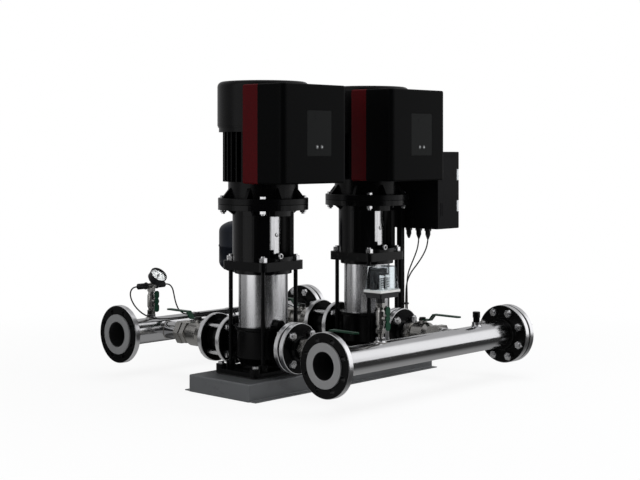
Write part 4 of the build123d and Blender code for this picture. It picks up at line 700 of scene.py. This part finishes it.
# %% Stools
foot_z, stool_z, flange_z, joint_z = 397, 427, 595, 613
stool_outer, stool_inner, foot_side, foot_corner, foot_bore = 102, 88, 196, 18, 67.5
low_band, high_band = 14, 20
stool_flange, flange_bore = 150, 60
jamb_out, jamb_in = 57.4, 51.3
rib_lean, rib_reach, rib_drop, rib_thickness = 28, 22, 18, 8
on_side = Matrix.Rotation(radians(90), 4, "X")


def whole(radius, steps):
    """A full circle of points."""
    return arc(radius, 0, 360, steps)[:-1]


def facing(x, z, angle, y):
    """An upright place at an angle round a pump's axis."""
    at_axis = Matrix.Translation((x, 0, z)) @ Matrix.Rotation(radians(angle), 4, "Z")
    return at_axis @ Matrix.Translation((0, y, 0)) @ on_side


stool_shells = []
for x in pump_x:
    square = rounded(foot_side, foot_side, foot_corner)
    bore = [(foot_bore * px / hypot(px, py), foot_bore * py / hypot(px, py)) for px, py in square]
    stool_shells.append(wall(square, bore, [foot_z] * len(square), stool_z, shift=x))
    full_out, full_in = whole(stool_outer, 64), whole(stool_inner, 64)
    stool_shells.append(wall(full_out, full_in, [stool_z] * 64, stool_z + low_band, shift=x))
    stool_shells.append(wall(full_out, full_in, [flange_z - high_band] * 64, flange_z, shift=x))
    rim_out, rim_in = whole(stool_flange, 96), whole(flange_bore, 96)
    stool_shells.append(wall(rim_out, rim_in, [flange_z] * 96, joint_z, shift=x))
    for side in (0, 180):
        outside = arc(stool_outer, side - jamb_out, side + jamb_out, 24)
        inside = arc(stool_inner, side - jamb_in, side + jamb_in, 24)
        stool_shells.append(wall(outside, inside, [stool_z] * 25, flange_z, closed=False, shift=x))
        for lean in (-rib_lean, rib_lean):
            rib_foot = flange_z - rib_drop
            rib = ((stool_outer - 4, flange_z), (stool_outer - 4, rib_foot), (stool_outer - 1, rib_foot),
                   (stool_outer + rib_reach, flange_z))
            stool_shells.append(prism(rib, rib_thickness, facing(x, 0, side + lean, rib_thickness / 2)))
stools = piece("stool_castings", shell_mesh("stool_castings", stool_shells), black_iron)
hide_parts("motor_stools")

# %% Guards
guard_outer, guard_inner, guard_top, guard_split = 63.5, 62, 588, 1
notch_sides, notch_top = (-47, -13), 464
screw_z, screw_radius = 513, 7
screw_profile = ((0, 0), (screw_radius, 0), (screw_radius, 1.2), (6, 2.8), (3, 3.4), (3, 1.8), (0, 1.8))
guard_shells, screw_shells = [], []
for x in pump_x:
    for side in (0, 180):
        ends = (180 + guard_split + side, 360 - guard_split + side)
        outside, inside = arc(guard_outer, *ends, 60), arc(guard_inner, *ends, 60)
        notched = [side == 0 and notch_sides[0] < px < notch_sides[1] for px, py in outside]
        feet = [notch_top if cut else stool_z + 0.3 for cut in notched]
        guard_shells.append(wall(outside, inside, feet, guard_top, closed=False, shift=x))
        screw_shells.append(lathe(screw_profile, 24, facing(x, screw_z, side, 0.1 - guard_outer)))
guards = piece("coupling_tubes", shell_mesh("coupling_tubes", guard_shells), sleeve_steel)
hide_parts("coupling_guards")
piece("guard_screws", shell_mesh("guard_screws", screw_shells), zinc)
print("stool and guard shells", len(stool_shells), len(guard_shells))

# %% [markdown]
# ## The expansion tank
# A tank is two pressed halves rolled together at the waist. Pressed steel has no sharp corner, so
# the profile takes its dome and knuckle from quarter ellipses and keeps the seam as a small band.

# %% Tank
tank_x, tank_radius, seam_radius, neck_radius = 179, 120, 122, 17
low_knuckle, high_knuckle, low_rise, high_rise = 366, 480, 46, 43
fullness = 0.62


def dome(radius, rise, level, up, steps=10):
    """A quarter of a full-cheeked ellipse, from the wall to the axis."""
    angles = [pi / 2 * step / steps for step in range(steps)]
    points = [(radius * cos(angle) ** fullness, level + up * rise * sin(angle)) for angle in angles]
    return points + [(0, level + up * rise)]


lower = dome(tank_radius, low_rise, low_knuckle, -1)[::-1]
upper = dome(tank_radius, high_rise, high_knuckle, 1)
seam = [(tank_radius, 421), (seam_radius, 422.5), (seam_radius, 427.5), (tank_radius, 429)]
neck = [(0, 298), (neck_radius, 298), (neck_radius, 324), (0, 324)]
at_tank = Matrix.Translation((tank_x, discharge_y, 0))
tank_mesh = shell_mesh("tank_shell", [lathe(lower + seam + upper, 72, at_tank), lathe(neck, 32, at_tank)])
tank_mesh.shade_smooth()
tank = piece("tank_shell", tank_mesh, tank_paint)
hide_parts("tank")
print("tank faces", len(tank_mesh.polygons))

# %% [markdown]
# ## Copies round an arc
# Dial ticks are one small bar repeated round an arc, which is what Geometry Nodes are for. The tree
# takes the bar, its count, the radius and the two angles, and turns each copy to face outwards.
# Realize Instances makes real faces of the copies, because an export drops instances.

# %% Geometry Nodes: copies round an arc
def finished_tree(tree, made, given, result):
    """Ends a tree in real faces that carry its finish."""
    real = node(tree, "GeometryNodeRealizeInstances", {0: made.outputs[0]})
    dressed = node(tree, "GeometryNodeSetMaterial", {"Geometry": real.outputs[0], "Material": given["Finish"]})
    tree.links.new(dressed.outputs[0], result[0])


ring_tree, given, result = group_of(
    "GeometryNodeTree", "copies round an arc",
    {"Shape": "Geometry", "Count": 11, "Radius": 0.02, "First": 0.0, "Sweep": 1.0, "Finish": "Material"},
    {"Copies": "Geometry"})
index = node(ring_tree, "GeometryNodeInputIndex").outputs[0]
share = maths(ring_tree, "DIVIDE", index, maths(ring_tree, "SUBTRACT", given["Count"], 1.0))
angle = maths(ring_tree, "MULTIPLY_ADD", share, given["Sweep"], given["First"])
cosine, sine = maths(ring_tree, "COSINE", angle), maths(ring_tree, "SINE", angle)
outwards = node(ring_tree, "ShaderNodeCombineXYZ", {"X": cosine, "Y": sine}).outputs[0]
spot = node(ring_tree, "ShaderNodeVectorMath", {0: outwards, "Scale": given["Radius"]}, operation="SCALE")
turn = node(ring_tree, "ShaderNodeCombineXYZ", {"Z": angle})
spots = node(ring_tree, "GeometryNodePoints", {"Count": given["Count"], "Position": spot.outputs[0]})
copies = node(ring_tree, "GeometryNodeInstanceOnPoints", {
    "Points": spots.outputs[0], "Instance": given["Shape"], "Rotation": turn.outputs[0]})
finished_tree(ring_tree, copies, given, result)


# %% From a tree to a plain mesh
def plain_mesh(made):
    """The evaluated mesh of an object, which is then removed."""
    scene.collection.objects.link(made)
    mesh = bpy.data.meshes.new_from_object(made.evaluated_get(bpy.context.evaluated_depsgraph_get()))
    bpy.data.objects.remove(made)
    return mesh


def grown(shape, tree, settings):
    """What a tree makes from a shape, with its inputs set by the sockets' identifiers."""
    seed = bpy.data.objects.new("seed", shape)
    modifier = seed.modifiers.new("grow", "NODES")
    modifier.node_group = tree
    for item in tree.interface.items_tree:
        if item.item_type == "SOCKET" and item.in_out == "INPUT" and item.name in settings:
            modifier[item.identifier] = settings[item.name]
    return plain_mesh(seed)


def joined(name, meshes):
    """One mesh from several."""
    work = bmesh.new()
    for mesh in meshes:
        work.from_mesh(mesh)
    made = bpy.data.meshes.new(name)
    work.to_mesh(made)
    work.free()
    return made


# %% [markdown]
# ## The gauge's dial
# A gauge shows a white disc with a scale from 0 to 10 over three quarters of a turn. The ticks are
# copies round an arc, and the numbers are text turned into a mesh before it gets its place. All of
# it lies just above the case's floor and below the needle.

# %% Dial
gauge_centre, gauge_tilt = (-311, 520, 308.45), 45
dial_level, card_lift, card_top = 52, 0.02, 0.25
card_radius, hub_radius = 28.6, 2.2
zero_angle, full_sweep, full_scale = 225, -270, 10
number_circle, number_size, number_depth = 19.5, 0.0062, 0.00008
tick_kinds = ((full_scale + 1, (4.2, 0.7), 25.4), (5 * full_scale + 1, (2.2, 0.3), 26.4))
tick_height, tick_corner = 0.15, 0.1
gauge_frame = Matrix.Translation(metres(*gauge_centre)) @ Matrix.Rotation(radians(gauge_tilt), 4, "X")
card_feet = [dial_level + card_lift] * 72
card_wall = wall(whole(card_radius, 72), whole(hub_radius, 72), card_feet, dial_level + card_top)
card = shell_mesh("gauge_card", [card_wall])
card.transform(gauge_frame)
piece("gauge_card", card, dial_white)
marks = []
for count, (length, width), middle in tick_kinds:
    bar = shell_mesh("tick", [prism(rounded(length, width, tick_corner, 1), tick_height)])
    marks.append(grown(bar, ring_tree, {"Count": count, "Radius": middle / 1000, "First": radians(zero_angle),
                                        "Sweep": radians(full_sweep), "Finish": dial_black}))
for value in range(0, full_scale + 1, 2):
    words = bpy.data.curves.new("number", "FONT")
    words.body = str(value)
    words.size, words.extrude = number_size, number_depth
    words.align_x, words.align_y = "CENTER", "CENTER"
    digits = plain_mesh(bpy.data.objects.new("number", words))
    angle = radians(zero_angle + full_sweep * value / full_scale)
    x, y = metres(number_circle * cos(angle), number_circle * sin(angle))
    digits.transform(Matrix.Translation((x, y, number_depth)))
    marks.append(digits)
scale_marks = joined("gauge_scale", marks)
scale_marks.transform(gauge_frame @ Matrix.Translation(metres(0, 0, dial_level + card_top)))
piece("gauge_scale", scale_marks, dial_black)
print("dial marks", len(scale_marks.polygons))

# %% [markdown]
# ## Marks on the drive keys
# Each drive has two push keys with a raised triangle, one down and one up. Every triangle rides on
# its own key, so it goes in with it.

# %% Key marks
key_front, key_z, mark_depth, sunk = -241.9, 802, 0.22, 0.02
half_base, base_level, tip_level = 3.4, 2.2, 3.4
for number, x in enumerate(pump_x, 1):
    for label, offset, way in (("down", 5, -1), ("up", 27, 1)):
        triangle = ((-half_base, -base_level * way), (half_base, -base_level * way), (0, tip_level * way))
        at_key = Matrix.Translation((x + offset, key_front + sunk, key_z)) @ on_side
        name = f"pump_{number}_{label}_mark"
        mark = shell_mesh(name, [prism(triangle[::way], mark_depth, at_key)])
        piece(name, mark, pale_mark, f"{label}_key_{number}")
print("key marks", 2 * len(pump_x))

# %% [markdown]
# ## Inside the pressure switch
# Under the clear hood two spindles carry coil springs in front of a dark moulded body. The spiral
# node winds each spring, and a small circle swept along it gives the wire its thickness.

# %% Geometry Nodes: coil spring
coil_tree, given, result = group_of(
    "GeometryNodeTree", "coil spring",
    {"Base": "Geometry", "Turns": 7.0, "Radius": 0.0064, "Height": 0.03, "Wire": 0.0008, "Finish": "Material"},
    {"Coil": "Geometry"})
winding = node(coil_tree, "GeometryNodeCurveSpiral", {
    "Resolution": 24, "Rotations": given["Turns"], "Start Radius": given["Radius"],
    "End Radius": given["Radius"], "Height": given["Height"]})
wire = node(coil_tree, "GeometryNodeCurvePrimitiveCircle", {"Resolution": 8, "Radius": given["Wire"]})
swept = node(coil_tree, "GeometryNodeCurveToMesh", {
    "Curve": winding.outputs[0], "Profile Curve": wire.outputs[0], "Fill Caps": True})
finished_tree(coil_tree, swept, given, result)

# %% Works of the switch
switch_x, switch_floor, spindle_side, lift_off = -190, 356.95, -8, 0.02
spindle_x, spindle_radius, spindle_height = (-12, 16), 2.5, 50
seat_radius, seat_height, seat_levels = 7, 2, (2, 37)
nut_radius, nut_low, nut_high = 6.8, 40.5, 45
spring_foot = 5
spring = {"Turns": 6.0, "Radius": 0.0062, "Height": 0.031, "Wire": 0.0009, "Finish": bright_zinc}
plate_size, plate_place, plate_thickness = (44, 7), (2, spindle_side, 39.1), 1.5
body_size, body_height, body_y = (68, 15), 64, 14.5
rib_size, rib_height, rib_y, rib_x = (9, 3), 20, 5.6, (-22, -8, 8, 22)
at_switch = Matrix.Translation((switch_x, suction_y, switch_floor))


def drum(radius, low, high, steps, place):
    """A plain turned disc or bar between two levels."""
    return lathe(((0, low), (radius, low), (radius, high), (0, high)), steps, place)


empty = bpy.data.meshes.new("coil_seed")
coils, bright_works, dark_works = [], [], []
for x in spindle_x:
    coil = grown(empty, coil_tree, spring)
    coil.transform(Matrix.Translation(metres(switch_x + x, suction_y + spindle_side, switch_floor + spring_foot)))
    coils.append(coil)
    at_spindle = at_switch @ Matrix.Translation((x, spindle_side, 0))
    dark_works.append(drum(spindle_radius, lift_off, spindle_height, 20, at_spindle))
    for level in seat_levels:
        bright_works.append(drum(seat_radius, level, level + seat_height, 32, at_spindle))
    bright_works.append(drum(nut_radius, nut_low, nut_high, 6, at_spindle))
plate = prism(rounded(*plate_size, 1.5), plate_thickness, at_switch @ Matrix.Translation(plate_place))
bright_works.append(plate)
works_mesh = joined("switch_springs", coils + [shell_mesh("switch_spindles", bright_works)])
works = piece("switch_springs", works_mesh, bright_zinc)
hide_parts("pressure_switch_works")
at_body = at_switch @ Matrix.Translation((0, body_y, lift_off))
body_shells = [prism(rounded(*body_size, 3), body_height, at_body)]
for x in rib_x:
    at_rib = at_switch @ Matrix.Translation((x, rib_y, lift_off))
    body_shells.append(prism(rounded(*rib_size, 0.8), rib_height, at_rib))
piece("switch_body", shell_mesh("switch_body", body_shells + dark_works), black_plastic)
print("switch coils", len(coils))

# %% [markdown]
# ## Weld beads
# The header's branches and sockets are welded on. Where two round tubes meet, the seam is a saddle:
# it follows the big tube as it goes round the small one. A tree walks along that closed curve and
# sets a flat drop of metal every few millimetres, so the bead ripples like a real one.

# %% Geometry Nodes: weld bead
bead_tree, given, result = group_of(
    "GeometryNodeTree", "weld bead",
    {"Seam": "Geometry", "Pitch": 0.0024, "Size": 0.0021, "Finish": "Material"}, {"Bead": "Geometry"})
seams = node(bead_tree, "GeometryNodeMeshToCurve", {"Mesh": given["Seam"]}).outputs[0]
steps_along = {"Curve": seams, "Length": given["Pitch"]}
walk = node(bead_tree, "GeometryNodeCurveToPoints", steps_along, mode="LENGTH").outputs
drop = node(bead_tree, "GeometryNodeMeshIcoSphere", {"Radius": given["Size"], "Subdivisions": 2})
drops = node(bead_tree, "GeometryNodeInstanceOnPoints", {
    "Points": walk["Points"], "Instance": drop.outputs["Mesh"], "Rotation": walk["Rotation"],
    "Scale": (1.0, 1.0, 0.7)})
finished_tree(bead_tree, drops, given, result)

# %% Beads on the headers
weld_steel = finish("weld_steel", (0.52, 0.50, 0.47), (0.7, 0.69, 0.66), (0.26, 0.4), 1, scale=700,
                    bump=0.1, cloud=0.2)
branch_radius, socket_radius, seam_rise, seam_steps = 30.15, 18.4, 0.2, 96
bead_pitch, bead_size = 0.0024, 0.0021
sockets_of = {suction_y: (-197,), discharge_y: (-311, 179)}
seam_mesh = bmesh.new()
for y, inwards in ((suction_y, 1), (discharge_y, -1)):
    seats = [(x, branch_radius, False) for x in pump_x] + [(x, socket_radius, True) for x in sockets_of[y]]
    for x, small, up in seats:
        loop = []
        for step in range(seam_steps):
            turned = 2 * pi * step / seam_steps
            first, second = small * cos(turned), small * sin(turned)
            rise = sqrt(header_radius ** 2 - second ** 2) + seam_rise
            off_axis, level = (second, rise) if up else (inwards * rise, second)
            loop.append(seam_mesh.verts.new(metres(x + first, y + off_axis, port_z + level)))
        for pair in zip(loop, loop[1:] + loop[:1]):
            seam_mesh.edges.new(pair)
seam_lines = bpy.data.meshes.new("seams")
seam_mesh.to_mesh(seam_lines)
seam_mesh.free()
beads = grown(seam_lines, bead_tree, {"Pitch": bead_pitch, "Size": bead_size, "Finish": weld_steel})
beads.shade_smooth()
piece("weld_beads", beads, weld_steel)
print("weld bead faces", len(beads.polygons))
